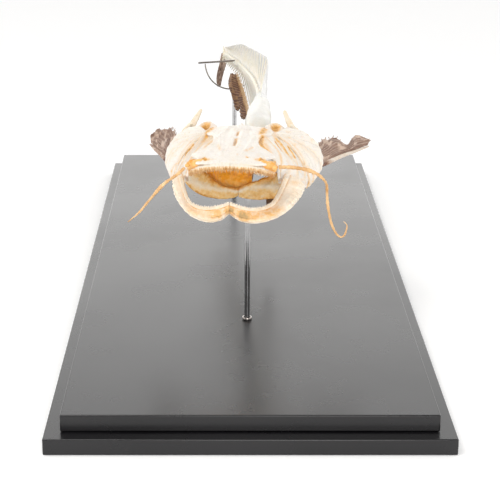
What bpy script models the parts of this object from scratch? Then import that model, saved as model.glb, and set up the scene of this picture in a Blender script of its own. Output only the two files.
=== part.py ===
"""Catfish skeleton, mounted on two rods over a two-tier board.

The board lies on Z = 0 with its middle at the origin. The head faces -Y, +Z is up. "left" and "right" are
the fish's own sides, so its left side is at +X. Design values are millimetres, turned into metres as each
mesh is made.
"""
import math

import bmesh
import bpy
import numpy as np

MM = 0.001
GAP = 0.3                     # air between pieces that touch

# Stand
BOARD_WIDTH = 190.0
BOARD_LENGTH = 469.0
LOWER_TIER_TOP = 8.0
UPPER_TIER_TOP = 16.6
LEDGE = 7.5                   # how far the lower tier shows all round
BOARD_EDGE = 0.5              # small chamfer on the boards' edges
ROD_RADIUS = 1.5
COLLAR_RADIUS = 2.6
COLLAR_HEIGHT = 1.2
FRONT_ROD = (0.6, -109.0)
FRONT_ROD_TOP = 104.9
REAR_ROD = (-4.2, 126.4)
YOKE_CENTRE = (-5.6, 126.3, 109.5)
YOKE_RADIUS = 19.3
YOKE_WIRE = 0.45
BAR_RADIUS = 0.6
BAR_HALF_LENGTH = 24.2
BAR_YAW = math.radians(17.0)  # its fish-left end lies farther back, square to the tail

# Head: (u, v, z) has u to the fish's left, v to the rear and z up, about a point over the front rod
HEAD_X = -3.9
HEAD_Y = -109.0
HEAD_YAW = math.radians(4.7)
LEFT_SPREAD = 1.05            # the gill cover and cheek stand out farther on the fish's left
RIGHT_SPREAD = 0.93
JAW_SHIFT = -0.4              # the lower jaw hangs a little to the fish's right of the skull's middle line
JAW_WIDTH = 0.86              # the toothed rim's width against the curves in dentary()
LEFT_FLANGE = 0.97            # and the outer flange's width, which is larger at the fish's left
RIGHT_FLANGE = 0.82
UPPER_TOOTH = 1.2
LOWER_TOOTH = 0.8

# Body
TRUNK_START = 0.115           # places along BACKBONE, from 0 at the skull to 1 at the tail fin
TAIL_START = 0.50
TAIL_MIDDLE = 0.745
TRUNK_BONES = 16
RIB_PAIRS = 10
RIB_NARROWING = 0.42
FRONT_TAIL_BONES = 10
REAR_TAIL_BONES = 12
TRUNK_RADIUS = 2.6
SHIELD_END = 0.22             # the bony shield over the first free spines ends here
SHORT_SPINE = 0.4             # length of the spines under the shield, against the free ones
SPINE_BOW = 1.5               # how far the middle of an upper or lower spine curves to the rear

# The backbone's middle, and where the tips of the upper and lower spines reach beside each of its points
BACKBONE = ((1.2, -95, 110.5), (3.6, -80, 111.5), (6.9, -53, 111.5), (9.3, -20, 111), (10.4, 12, 110),
            (9.3, 45, 109.4), (7.2, 70, 108.8), (3.9, 95, 107.8), (0, 120, 106.8), (-5, 143, 106.3),
            (-10, 163, 106))
UPPER_TIPS = ((3, -84, 119), (5.4, -72, 121), (8.6, -44, 124), (11.8, -10, 128), (14.4, 18, 132.5),
              (8.8, 55, 130), (4.4, 82, 127.3), (0.2, 106, 124.8), (-4.5, 129, 119.8), (-8.7, 150, 114.5),
              (-11, 168, 111))
LOWER_TIPS = ((1.2, -84, 98), (3.6, -72, 96), (7, -44, 92), (9.3, -8, 90), (10, 26, 89),
              (7, 61, 87), (4.9, 84, 88.5), (2, 108, 93.5), (-2.2, 131, 98.2), (-7, 151, 99.6),
              (-11, 168, 100.5))


def clear_scene():
    for thing in list(bpy.data.objects):
        bpy.data.objects.remove(thing, do_unlink=True)


def material(name, colour, roughness, metallic=0.0):
    made = bpy.data.materials.get(name)
    if made is None:
        made = bpy.data.materials.new(name)
        made.use_nodes = True
        shader = made.node_tree.nodes["Principled BSDF"]
        shader.inputs["Base Color"].default_value = (*colour, 1.0)
        shader.inputs["Roughness"].default_value = roughness
        shader.inputs["Metallic"].default_value = metallic
    return made


def board_lacquer():
    return material("board_lacquer", (0.02, 0.02, 0.022), 0.32)


def steel():
    return material("polished_steel", (0.75, 0.75, 0.76), 0.14, 1.0)


def bone():
    return material("bone", (0.86, 0.79, 0.68), 0.5)


def jaw_bone():
    return material("jaw_bone", (0.84, 0.68, 0.46), 0.48)


def pale_bone():
    return material("thin_bone", (0.82, 0.80, 0.74), 0.42)


def stained_bone():
    return material("stained_bone", (0.66, 0.42, 0.18), 0.5)


def fin_skin():
    return material("dried_fin", (0.25, 0.15, 0.11), 0.7)


def feeler_skin():
    return material("dried_barbel", (0.60, 0.34, 0.14), 0.55)


def finish(name, shape, look, smooth_under=40.0):
    """Make the named object from a shape in millimetres."""
    bmesh.ops.scale(shape, vec=(MM, MM, MM), verts=shape.verts)
    bmesh.ops.recalc_face_normals(shape, faces=shape.faces)
    mesh = bpy.data.meshes.new(name)
    shape.to_mesh(mesh)
    shape.free()
    mesh.materials.append(look)
    mesh.shade_smooth()
    mesh.set_sharp_from_angle(angle=math.radians(smooth_under))
    made = bpy.data.objects.new(name, mesh)
    bpy.context.collection.objects.link(made)
    return made


def combine(target, other, operation):
    """Join the other object to the target, or cut it away, and keep it only as a guide."""
    other.hide_render = True
    other.display_type = "WIRE"
    step = target.modifiers.new(operation.lower() + "_" + other.name, "BOOLEAN")
    step.operation = operation
    step.solver = "EXACT"
    step.object = other


def clear_of(target, neighbour):
    """Cut the target back so that it keeps the gap to a neighbour."""
    guide = bpy.data.objects.new("room_for_" + neighbour.name + "_in_" + target.name, neighbour.data.copy())
    bpy.context.collection.objects.link(guide)
    for step in neighbour.modifiers:
        if step.type == "BOOLEAN":
            copy = guide.modifiers.new(step.name, "BOOLEAN")
            copy.operation = step.operation
            copy.solver = "EXACT"
            copy.object = step.object
    swell = guide.modifiers.new("gap", "DISPLACE")
    swell.strength = GAP * MM
    swell.mid_level = 0.0
    combine(target, guide, "DIFFERENCE")


def along(points, t):
    """The smooth curve through the points, at t from 0 to 1."""
    knots = np.array(points, dtype=float)
    knots = np.vstack([2 * knots[0] - knots[1], knots, 2 * knots[-1] - knots[-2]])
    span = t * (len(points) - 1)
    i = min(int(span), len(points) - 2)
    f = span - i
    a, b, c, d = knots[i:i + 4]
    square = 2 * a - 5 * b + 4 * c - d
    cube = 3 * b - a - 3 * c + d
    return 0.5 * (2 * b + (c - a) * f + square * f ** 2 + cube * f ** 3)


def sampled(points, count):
    return np.array([along(points, i / (count - 1)) for i in range(count)])


def unit(vector):
    return vector / np.linalg.norm(vector)


def head(u, v, z):
    """A place in the head, in the board's frame."""
    x = HEAD_X + math.cos(HEAD_YAW) * u + math.sin(HEAD_YAW) * v
    y = HEAD_Y - math.sin(HEAD_YAW) * u + math.cos(HEAD_YAW) * v
    return np.array((x, y, z))


def head_curve(points, side, count, spread=1.0, shift=0.0):
    """A curve on one side of the head: side is 1 for the fish's left and -1 for its right."""
    return np.array([head(side * u * spread + shift, v, z) for u, v, z in sampled(points, count)])


def spread_of(side):
    return LEFT_SPREAD if side > 0 else RIGHT_SPREAD


def side_name(side):
    return "left" if side > 0 else "right"


def skin(shape, sections, flat_strip=False):
    """Close a skin over sections of equally many points, and return its faces as rows.

    With flat_strip the sections are thin strips, whose end caps are made of one face for each pair of points.
    """
    rings = [[shape.verts.new(p) for p in section] for section in sections]
    size = len(rings[0])
    rows = []
    for low, high in zip(rings, rings[1:]):
        rows.append([shape.faces.new((low[j], low[(j + 1) % size], high[(j + 1) % size], high[j]))
                     for j in range(size)])
    for end in (rings[0], rings[-1]):
        if flat_strip:
            for j in range(size // 2 - 1):
                shape.faces.new((end[j], end[j + 1], end[size - 2 - j], end[size - 1 - j]))
        else:
            shape.faces.new(end)
    bmesh.ops.recalc_face_normals(shape, faces=shape.faces)
    return rows


def frames(path):
    """The side and up directions of each point of a path."""
    result = []
    for i, point in enumerate(path):
        ahead = unit(path[min(i + 1, len(path) - 1)] - path[max(i - 1, 0)])
        reference = np.array((0.0, 0.0, 1.0)) if abs(ahead[2]) < 0.95 else np.array((0.0, 1.0, 0.0))
        side = unit(np.cross(ahead, reference))
        result.append((side, np.cross(side, ahead)))
    return result


def rod_along(shape, path, wide, high=None, sides=8, turn=0.0):
    """Sweep an ellipse along a path. wide and high are radii at evenly spread places."""
    high = wide if high is None else high
    sections = []
    for i, (point, (side, up)) in enumerate(zip(path, frames(path))):
        t = i / (len(path) - 1)
        a = along([(w, 0) for w in wide], t)[0]
        b = along([(h, 0) for h in high], t)[0]
        angles = [turn + 2 * math.pi * k / sides for k in range(sides)]
        sections.append([point + a * math.cos(q) * side + b * math.sin(q) * up for q in angles])
    return skin(shape, sections)


def plate_between(shape, first, second, columns, thickness, bulge=0.0):
    """A curved plate between two edges of equally many points. bulge lifts its middle along its face."""
    middle = []
    for a, b in zip(first, second):
        middle.append([a + (b - a) * j / columns for j in range(columns + 1)])
    grid = np.array(middle)
    down = np.gradient(grid, axis=0)
    across = np.gradient(grid, axis=1)
    normal = np.cross(down, across)
    normal /= np.linalg.norm(normal, axis=2, keepdims=True)
    share = np.linspace(0.0, 1.0, columns + 1)
    grid = grid + normal * (4 * bulge * share * (1 - share))[None, :, None]
    down = np.gradient(grid, axis=0)
    across = np.gradient(grid, axis=1)
    normal = np.cross(down, across)
    normal /= np.linalg.norm(normal, axis=2, keepdims=True)
    sections = []
    for row, facing in zip(grid, normal):
        outer = [p + n * thickness / 2 for p, n in zip(row, facing)]
        inner = [p - n * thickness / 2 for p, n in zip(row, facing)]
        sections.append(outer + inner[::-1])
    return skin(shape, sections, flat_strip=True)


def grow(shape, face, path, scales):
    """Draw a face out along a path, scaling its outline at each step."""
    for centre, scale in zip(path, scales):
        face = bmesh.ops.extrude_discrete_faces(shape, faces=[face])["faces"][0]
        middle = np.mean([np.array(v.co) for v in face.verts], axis=0)
        for vert in face.verts:
            vert.co = centre + (np.array(vert.co) - middle) * scale
    return face


def raise_teeth(shape, faces, height):
    """Turn each face into a four-sided tooth."""
    for face in faces:
        bmesh.ops.poke(shape, faces=[face], offset=height)


# ---------------------------------------------------------------- stand

def board(name, width, length, bottom, top):
    shape = bmesh.new()
    bmesh.ops.create_cube(shape, size=1.0)
    bmesh.ops.scale(shape, vec=(width, length, top - bottom), verts=shape.verts)
    bmesh.ops.translate(shape, vec=(0, 0, (top + bottom) / 2), verts=shape.verts)
    upper = [e for e in shape.edges if all(v.co.z > bottom + BOARD_EDGE for v in e.verts)]
    bmesh.ops.bevel(shape, geom=upper, offset=BOARD_EDGE, segments=1, profile=0.5, affect="EDGES")
    return finish(name, shape, board_lacquer(), 20.0)


def round_post(name, x, y, bottom, top, radius, sides, look):
    shape = bmesh.new()
    bmesh.ops.create_cone(shape, cap_ends=True, segments=sides, radius1=radius, radius2=radius,
                          depth=top - bottom)
    bmesh.ops.translate(shape, vec=(x, y, (top + bottom) / 2), verts=shape.verts)
    return finish(name, shape, look)


def collar(name, x, y):
    """A ring round the foot of a rod."""
    bottom = UPPER_TIER_TOP + GAP
    ring = round_post(name, x, y, bottom, bottom + COLLAR_HEIGHT, COLLAR_RADIUS, 12, steel())
    bore = round_post("bore_of_" + name, x, y, bottom - 1, bottom + COLLAR_HEIGHT + 1, ROD_RADIUS + GAP, 12,
                      steel())
    combine(ring, bore, "DIFFERENCE")
    return ring


def stand():
    board("base_lower_tier", BOARD_WIDTH, BOARD_LENGTH, 0.0, LOWER_TIER_TOP)
    board("base_upper_tier", BOARD_WIDTH - 2 * LEDGE, BOARD_LENGTH - 2 * LEDGE, LOWER_TIER_TOP + GAP,
          UPPER_TIER_TOP)
    foot = UPPER_TIER_TOP + GAP
    round_post("rod_front", *FRONT_ROD, foot, FRONT_ROD_TOP, ROD_RADIUS, 16, steel())
    collar("rod_front_collar", *FRONT_ROD)
    yoke_bottom = YOKE_CENTRE[2] - YOKE_RADIUS
    round_post("rod_rear", *REAR_ROD, foot, yoke_bottom - YOKE_WIRE - GAP, ROD_RADIUS, 16, steel())
    collar("rod_rear_collar", *REAR_ROD)


def bar_point(distance, height=0.0):
    """A place in the upright plane of the cross bar, measured from its middle."""
    x, y, z = YOKE_CENTRE
    return np.array((x + distance * math.cos(BAR_YAW), y + distance * math.sin(BAR_YAW), z + height))


def tail_yoke():
    """The half ring under the tail, with its ends just under the cross bar."""
    below = BAR_RADIUS + YOKE_WIRE + GAP
    first = math.asin(below / YOKE_RADIUS)
    arc = []
    for i in range(19):
        angle = first + (math.pi - 2 * first) * i / 18
        arc.append(bar_point(YOKE_RADIUS * math.cos(angle), -YOKE_RADIUS * math.sin(angle)))
    shape = bmesh.new()
    rod_along(shape, np.array(arc), (YOKE_WIRE, YOKE_WIRE), sides=5)
    finish("tail_yoke", shape, steel())


def tail_bar():
    shape = bmesh.new()
    ends = np.array((bar_point(-BAR_HALF_LENGTH), bar_point(0.0), bar_point(BAR_HALF_LENGTH)))
    rod_along(shape, ends, (BAR_RADIUS, BAR_RADIUS), sides=10)
    finish("tail_bar", shape, steel())


# ---------------------------------------------------------------- skull

def neurocranium():
    """The broad skull roof with the braincase under it, closed all round.

    Each station has v, half width, top, how far the edges droop, the core's half width and the core's bottom.
    """
    stations = ((-61.9, 11.5, 121.9, 0.7, 6, 120.9), (-60.5, 14.5, 122.1, 1.2, 6, 120.3),
                (-58, 16.8, 122.2, 2.2, 9, 118.2), (-56, 17.2, 122.4, 2.6, 14, 117.2),
                (-52, 16.2, 122.7, 2.6, 12, 116.4), (-48, 17.4, 122.8, 2.8, 5.5, 115),
                (-46, 18.5, 122.8, 3.0, 5, 114.6), (-42.5, 19.6, 122.8, 3.4, 5, 113.7),
                (-39, 17.4, 122.9, 2.6, 5, 113), (-35, 12.6, 123, 1.3, 5, 112.4),
                (-26, 11, 123.1, 0.9, 6, 111), (-15, 12.2, 123.1, 1.1, 7.5, 109),
                (-8, 15.4, 122.9, 1.8, 9, 107), (0, 17, 122.5, 2.0, 9, 105.4),
                (6, 15.5, 121.7, 1.3, 7.5, 105.4), (9.5, 10, 121.1, 0.7, 5, 108),
                (13, 5, 120.4, 0.5, 3, 113), (17, 2.4, 119.6, 0.3, 1.5, 117.2))
    shape = bmesh.new()
    sections = []
    for v, half, top, droop, core, bottom in stations:
        rim = min(1.6, (top - bottom) * 0.4)
        edge = top - droop
        half_ring = ((0, top), (half * 0.5, top - droop * 0.25), (half * 0.82, top - droop * 0.67),
                     (half, edge), (half, edge - rim * 0.7),
                     (core + 0.3 * (half - core), top - droop * 0.3 - rim),
                     (core, (top + bottom) / 2), (core * 0.6, bottom))
        ring = [head(u, v, z) for u, z in half_ring]
        ring += [head(-u, v, z) for u, z in half_ring[:0:-1]]
        sections.append(ring)
    skin(shape, sections)
    skull = finish("neurocranium", shape, bone())
    combine(skull, slit("fontanelle_front", -38, -24, 0.9), "DIFFERENCE")
    combine(skull, slit("fontanelle_rear", -20, -9, 0.6), "DIFFERENCE")
    return skull


def slit(name, front, rear, half_width):
    """A cutter for one long opening in the middle of the skull roof."""
    shape = bmesh.new()
    path = np.array([head(0, front + (rear - front) * i / 6, 123.4) for i in range(7)])
    rod_along(shape, path, (0.3, half_width, half_width, 0.3), (1.2, 2.2, 2.2, 1.2), sides=8)
    return finish(name, shape, bone())


def premaxilla(side):
    """Half of the upper tooth plate, with its teeth below."""
    count = 13
    front = ((0.5, -64.8, 120), (7, -64.6, 119.6), (13, -62.4, 118.4), (17.5, -58.6, 116.3),
             (20.8, -53.5, 114))
    back = ((0.5, -60.6, 119.4), (6.5, -60.2, 119), (12, -58.4, 117.8), (15.8, -55.4, 116),
            (18.4, -51.6, 114.2))
    top_front = head_curve(front, side, count)
    top_back = head_curve(back, side, count)
    drop = np.array((0, 0, -1.3))
    sections = []
    for f, b in zip(top_front, top_back):
        sections.append((f, b, b + drop, (f + b) / 2 + drop, f + drop))
    shape = bmesh.new()
    rows = skin(shape, sections)
    raise_teeth(shape, [face for row in rows for face in (row[2], row[3])], UPPER_TOOTH)
    made = finish("premaxilla_" + side_name(side), shape, jaw_bone(), 30.0)
    return made


def maxilla(side):
    """The small bone that carries the long barbel."""
    points = ((17.6, -53.4, 118.8), (19.4, -56.4, 118.4), (21, -58.4, 118))
    shape = bmesh.new()
    rod_along(shape, head_curve(points, side, 4), (1.1, 1.7, 1.5), (0.8, 1.4, 1.3), sides=7)
    return finish("maxilla_" + side_name(side), shape, stained_bone())


def barbel_left():
    """The barbel at the fish's left sweeps out, hangs down and curls up at its end."""
    points = ((14, -169, 118.2), (19.5, -168.6, 118), (25.5, -168, 117), (30.5, -167.5, 115.3),
              (34.2, -167, 112.8), (36.9, -166.5, 109.2), (37.4, -166, 103.5), (38, -165.5, 97.6),
              (39.7, -165, 89.6), (41.9, -165, 84.5), (44.3, -165, 82), (46.2, -165, 82.7),
              (47.2, -165, 85.4), (47.4, -165, 88), (45.9, -165, 89.8))
    shape = bmesh.new()
    rod_along(shape, sampled(points, 29), (1.0, 0.75, 0.6, 0.5, 0.35), sides=5)
    finish("barbel_left", shape, feeler_skin())


def barbel_right():
    points = ((-30.8, -166, 117), (-33, -166, 114.8), (-36.3, -166, 112.2), (-39.8, -166, 109.8),
              (-43.1, -166, 106.5), (-46, -166, 103), (-48.9, -165.5, 99.4), (-52.9, -165, 94.4),
              (-58.4, -164, 89.3))
    shape = bmesh.new()
    rod_along(shape, sampled(points, 20), (1.0, 0.8, 0.9, 0.6, 0.35), sides=5)
    finish("barbel_right", shape, feeler_skin())


def palatine(side):
    """The rod from the front of the skull to the cheek."""
    points = ((13.5, -51, 116.6), (16.5, -45, 115.6), (19.5, -39, 114.8))
    shape = bmesh.new()
    rod_along(shape, head_curve(points, side, 5), (1.0, 1.3, 1.0), sides=6)
    return finish("palatine_" + side_name(side), shape, bone())


def suspensorium(side):
    """The cheek: a broad plate from the side of the skull out and down to the jaw joint."""
    spread = spread_of(side)
    top = ((13, -37, 118.4), (11.3, -31, 119.6), (10.3, -24, 120.1), (11.2, -14, 119.9), (14.6, -6, 118.8),
           (16.4, 0, 118))
    joint = ((side * 22.2 + JAW_SHIFT, -40, 107), (side * 23.4 + JAW_SHIFT, -35, 103))
    corner = ((34.2, -28, 98.6), (36.4, -21, 97), (36.8, -14, 99))
    bottom = joint + tuple((side * spread * u, v, z) for u, v, z in corner)
    count = 9
    lower_edge = np.array([head(*place) for place in sampled(bottom, count)])
    shape = bmesh.new()
    plate_between(shape, head_curve(top, side, count, spread), lower_edge, 4, 1.3, bulge=-3.2 * side)
    return finish("suspensorium_" + side_name(side), shape, bone())


def opercle(side):
    """The gill cover, flared out behind the cheek."""
    spread = spread_of(side)
    inner = ((16.6, 2, 118.7), (22.6, -1.4, 116), (28.2, -5.3, 111.3), (33, -9.2, 105.2), (37, -12.6, 98.8),
             (37, -20, 94.5))
    outer = ((24, 5, 121.9), (31, 7, 119.4), (37, 5, 115.4), (41, 1, 109.5), (42.2, -5.5, 102.5),
             (39.5, -14.5, 94))
    count = 10
    shape = bmesh.new()
    plate_between(shape, head_curve(inner, side, count, spread), head_curve(outer, side, count, spread), 4,
                  0.9, bulge=-1.0 * side)
    return finish("opercle_" + side_name(side), shape, bone())


def posttemporal(side):
    """The arched bone at the rear corner of the skull, open in front."""
    points = ((13.2, 9.6, 120.4), (16.5, 14.5, 120.4), (20.5, 15, 119.8), (22.4, 11.4, 118.6),
              (22, 7.6, 117.6))
    shape = bmesh.new()
    rod_along(shape, head_curve(points, side, 10), (1.0, 1.8, 1.5, 1.1), (0.7, 0.8, 0.8, 0.7), sides=6)
    return finish("posttemporal_" + side_name(side), shape, bone())


def dentary(side):
    """Half of the lower jaw: a toothed rim, a deep outer flange and the limb back to the joint."""
    rim = ((0.35, -62, 100.6), (6, -62.2, 98.8), (12, -61, 97.6), (18.5, -57.6, 97.2), (24, -52.4, 98.6),
           (27.6, -46, 102.6), (30, -40, 106.6), (31.4, -35, 108.4))
    flange = ((0.35, -61.6, 95.4), (5, -63.8, 93), (12, -63.8, 91.9), (20, -61, 92.6), (27, -56.4, 95),
              (33.2, -49.4, 99.4), (36, -42, 103), (35.6, -37, 104.6))
    inner = ((0.35, -58.4, 97), (6, -58.8, 95.2), (12, -57.8, 94.2), (17.6, -54.2, 94.2), (22.6, -49, 96),
             (27, -42.8, 99.8), (30, -38, 103.4), (31.4, -34.6, 105))
    count = 19
    outer_width = LEFT_FLANGE if side > 0 else RIGHT_FLANGE
    rim_line = head_curve(rim, side, count, JAW_WIDTH, JAW_SHIFT)
    flange_line = head_curve(flange, side, count, outer_width, JAW_SHIFT)
    inner_line = head_curve(inner, side, count, JAW_WIDTH, JAW_SHIFT)
    sections = []
    for top, low, back in zip(rim_line, flange_line, inner_line):
        inward = unit((back - low) * np.array((1, 1, 0)))
        outer_edge = top - 1.2 * inward
        inner_edge = top + 1.9 * inward + np.array((0, 0, -0.3))
        swell = (outer_edge + low) / 2 - 1.1 * inward
        sections.append((outer_edge, top + 0.35 * inward, inner_edge, back, low + 0.9 * inward, low, swell))
    shape = bmesh.new()
    rows = skin(shape, sections)
    toothed = [row[j] for row in rows[:15] for j in (0, 1)]
    raise_teeth(shape, toothed, LOWER_TOOTH)
    return finish("dentary_" + side_name(side), shape, jaw_bone(), 30.0)


def throat_wall():
    """The dried wall behind the mouth, domed between the skull and the shoulder girdle."""
    lower = ((-18.4, 5.6, 98.4), (-15, 3.8, 95.4), (-11.5, 2.4, 92.6), (-7.5, 1.0, 91.2), (-2, -0.6, 90.6),
             (3, -2.4, 92.6), (6.8, -3.2, 96.4))
    upper = ((-18.8, 3.4, 104.2), (-16, 0, 104.2), (-13, -3.2, 104.4), (-9, -6, 105), (-2, -7, 105.2), (3, -6.4, 104.2),
             (6.8, -4.4, 101.6))
    first = np.array([head(*p) for p in sampled(lower, 9)])
    second = np.array([head(*p) for p in sampled(upper, 9)])
    shape = bmesh.new()
    plate_between(shape, first, second, 3, 0.9, bulge=1.2)
    return finish("throat_wall", shape, stained_bone())


# ---------------------------------------------------------------- shoulder and paired fins

def pectoral_girdle(side):
    """Half of the shoulder girdle.

    A plate lies across the throat, an upright limb ends in a horn, and a spike points back over the fin.
    """
    spread = spread_of(side)
    name = "pectoral_girdle_" + side_name(side)
    lower = ((0.8, -4.8, 88), (4.5, -5.2, 86.4), (12, -5, 85.8), (20, -3.2, 86.4), (28, -0.5, 90),
             (33.5, 4, 96), (36, 7, 101))
    rise = (94, 96.4, 98.8) if side > 0 else (91.8, 93.0, 97.2)
    upper = ((0.8, -4.6, 91.4), (4.5, -5, rise[0]), (9.5, -4.6, rise[1]), (16, -2, rise[2]), (23, 2, 102),
             (28.5, 6, 105), (32, 9, 108))
    count = 10
    shape = bmesh.new()
    plate_between(shape, head_curve(lower, side, count, spread), head_curve(upper, side, count, spread), 3,
                  1.7, bulge=1.4 * side)
    girdle = finish(name, shape, pale_bone())
    limb = ((34, 7.6, 102.5), (33.6, 11, 108.5), (30, 12.5, 114.5), (26.6, 13.5, 118.8), (24, 19, 122.6),
            (22.2, 24, 125.4))
    shape = bmesh.new()
    rod_along(shape, head_curve(limb, side, 11), (2.6, 2.8, 2.4, 1.7, 1.1, 0.85),
              (1.6, 1.7, 1.6, 1.2, 1.0, 0.85), sides=6)
    combine(girdle, finish("limb_of_" + name, shape, pale_bone()), "UNION")
    spike = ((34.2, 8, 103.4), (35.5, 16, 105), (33.8, 25, 106), (31, 33, 106.4))
    shape = bmesh.new()
    rod_along(shape, head_curve(spike, side, 7, spread), (1.5, 1.6, 1.1, 0.5), (2.2, 1.8, 1.1, 0.5), sides=5)
    combine(girdle, finish("spike_of_" + name, shape, pale_bone()), "UNION")
    return girdle


def pectoral_spine(side):
    """The stiff first ray of the chest fin."""
    if side > 0:
        points = ((35.2, -104, 99.8), (42.5, -98, 100.8), (50, -88.5, 101.4), (58, -79.5, 101.6),
                  (67, -67.5, 101.4))
    else:
        points = ((-39.2, -98.8, 99.6), (-42.2, -91.4, 100.6), (-45.6, -81, 101), (-49, -71.5, 101),
                  (-52.2, -61, 100.8))
    shape = bmesh.new()
    rod_along(shape, sampled(points, 9), (1.9, 1.7, 1.4, 0.6), (1.3, 1.2, 1.0, 0.5), sides=6)
    return finish("pectoral_spine_" + side_name(side), shape, bone())


def pectoral_fin(side):
    """The dried fan of soft rays behind the spine, torn along its outer edge."""
    if side > 0:
        leading = ((38.6, -98, 102.2), (46.5, -87, 103), (55, -76.2, 103.6), (61.5, -69, 103),
                   (66.5, -62, 102.2))
        trailing = ((38.5, -76, 102.6), (42, -62, 102.6), (49, -50, 102), (56, -58.5, 102.4),
                    (61, -50, 101.8), (69.6, -54, 101.6))
    else:
        leading = ((-39.5, -88, 102.6), (-43, -80, 103.2), (-46.6, -71, 103.2), (-51.2, -59, 102.6))
        trailing = ((-36, -66, 104.2), (-38.4, -47, 104.4), (-41, -32.5, 103.6), (-45.5, -35, 103),
                    (-49.5, -31.5, 102), (-53.2, -43.5, 101.6))
    count = 11
    shape = bmesh.new()
    plate_between(shape, sampled(leading, count), sampled(trailing, count), 3, 0.7, bulge=0.8)
    return finish("pectoral_fin_" + side_name(side), shape, fin_skin())


def pelvic_girdle(side):
    """The flat bone under the rear ribs that carries a belly fin."""
    middle = 9.6
    front = ((0.8, -20, 71.2), (2.6, -14, 70.6), (5.8, -6, 69.8), (7.6, -1.5, 69))
    inner = ((0.5, -20, 71.2), (0.6, -13, 70.4), (0.6, -6, 69.2), (0.8, -0.5, 68.2))
    outer_edge = np.array([(middle + side * x, y, z) for x, y, z in sampled(front, 6)])
    inner_edge = np.array([(middle + side * x, y, z) for x, y, z in sampled(inner, 6)])
    shape = bmesh.new()
    plate_between(shape, inner_edge, outer_edge, 2, 1.0)
    return finish("pelvic_girdle_" + side_name(side), shape, pale_bone())


def pelvic_fin(side):
    """A belly fin, hanging."""
    middle = 9.6
    drop = 22.5 if side > 0 else 14.0
    shape = bmesh.new()
    leading = ((3.2, 0.4, 67.4), (4.2, 2.4, 67.4 - 0.5 * drop), (4.6, 4.4, 67.4 - drop))
    trailing = ((7.2, 0.2, 67.8), (8.8, 2, 67.4 - 0.5 * drop), (9.4, 3.4, 68.4 - drop))
    first = np.array([(middle + side * x, y, z) for x, y, z in sampled(leading, 6)])
    second = np.array([(middle + side * x, y, z) for x, y, z in sampled(trailing, 6)])
    plate_between(shape, first, second, 3, 0.8, bulge=0.5)
    return finish("pelvic_fin_" + side_name(side), shape, fin_skin())


# ---------------------------------------------------------------- backbone

def backbone(t):
    return along(BACKBONE, t)


def backbone_frame(t):
    ahead = unit(backbone(min(t + 0.01, 1.0)) - backbone(max(t - 0.01, 0.0)))
    side = unit(np.cross(ahead, np.array((0.0, 0.0, 1.0))))
    return ahead, side, np.cross(side, ahead)


def spine_path(start, tip):
    """Two steps from a bone's face to a spine's tip, bowed toward the rear."""
    middle = (start + tip) / 2 + np.array((0, SPINE_BOW, 0))
    return (middle, tip)


def column(shape, start, end, count, radius, arc, sides=6, offset=0.0):
    """A row of waisted vertebrae between two places on the backbone, and its faces as rows.

    arc leaves out part of the round section, and then the cut face is flat and offset from the middle.
    """
    sections = []
    steps = 2 * count
    for i in range(steps + 1):
        share = i / steps
        t = start + (end - start) * share
        centre = backbone(t)
        ahead, side, up = backbone_frame(t)
        r = (radius[0] + (radius[1] - radius[0]) * share) * (0.74 if i % 2 else 1.0)
        angles = [arc[0] + (arc[1] - arc[0]) * (k + 0.5) / sides for k in range(sides)]
        ring = [centre + r * (math.cos(q) * side + math.sin(q) * up) for q in angles]
        if offset:
            first = math.copysign(r, offset)
            ring = [centre + offset * side - first * up] + ring + [centre + offset * side + first * up]
        sections.append(ring)
    return skin(shape, sections)


def face_toward(faces, direction):
    return max(faces, key=lambda face: np.dot(np.array(face.normal), direction))


def tail_length(name, start, end, count, radius):
    """Tail vertebrae with an upper and a lower spine on each."""
    shape = bmesh.new()
    turn = math.pi / 6
    rows = column(shape, start, end, count, radius, arc=(-turn, 2 * math.pi - turn))
    for i in range(count):
        row = rows[2 * i]
        t = start + (end - start) * (i + 0.25) / count
        up = np.array((0.0, 0.0, 1.0))
        roots = ((UPPER_TIPS, face_toward(row, up)), (LOWER_TIPS, face_toward(row, -up)))
        for tips, face in roots:
            base = np.mean([np.array(v.co) for v in face.verts], axis=0)
            grow(shape, face, spine_path(base, along(tips, t)), (0.42, 0.6))
    return finish(name, shape, pale_bone())


def rib_path(t, side, share, width):
    """A rib curves out from the backbone, then down and back.

    share is its length against the longest, and width how far it stands out against the widest.
    """
    centre = backbone(t)
    ahead, across, up = backbone_frame(t)
    outline = ((3.8, 2.6, 1.4), (10.0 * width, 16, 5.5), (5.4 * width, 38.5, 9.0))
    path = []
    for out, down, back in outline:
        reach = side * out * (0.55 + 0.45 * share)
        path.append(centre + across * reach - up * down * share + ahead * back * share)
    return path


def rib_side(side):
    """The ribs of one side, on their half of the trunk's vertebrae."""
    shape = bmesh.new()
    arc = (-math.pi / 2, math.pi / 2) if side > 0 else (math.pi / 2, 3 * math.pi / 2)
    rows = column(shape, TRUNK_START, TAIL_START - 0.004, TRUNK_BONES, (TRUNK_RADIUS, 2.4), sides=3, arc=arc,
                  offset=side * GAP / 2)
    for i in range(RIB_PAIRS):
        row = rows[2 * i]
        place = (i + 0.25) / TRUNK_BONES
        t = TRUNK_START + (TAIL_START - TRUNK_START) * place
        ahead, across, up = backbone_frame(t)
        face = face_toward(row, across * side - 0.3 * up)
        share = 0.62 + 0.38 * math.sin(math.pi * min(1.0, (i + 1.5) / 6.0) / 2)
        width = 1 - RIB_NARROWING * i / (RIB_PAIRS - 1)
        grow(shape, face, rib_path(t, side, share, width), (0.48, 0.85, 0.65))
    return finish("ribs_" + side_name(side), shape, pale_bone())


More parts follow.
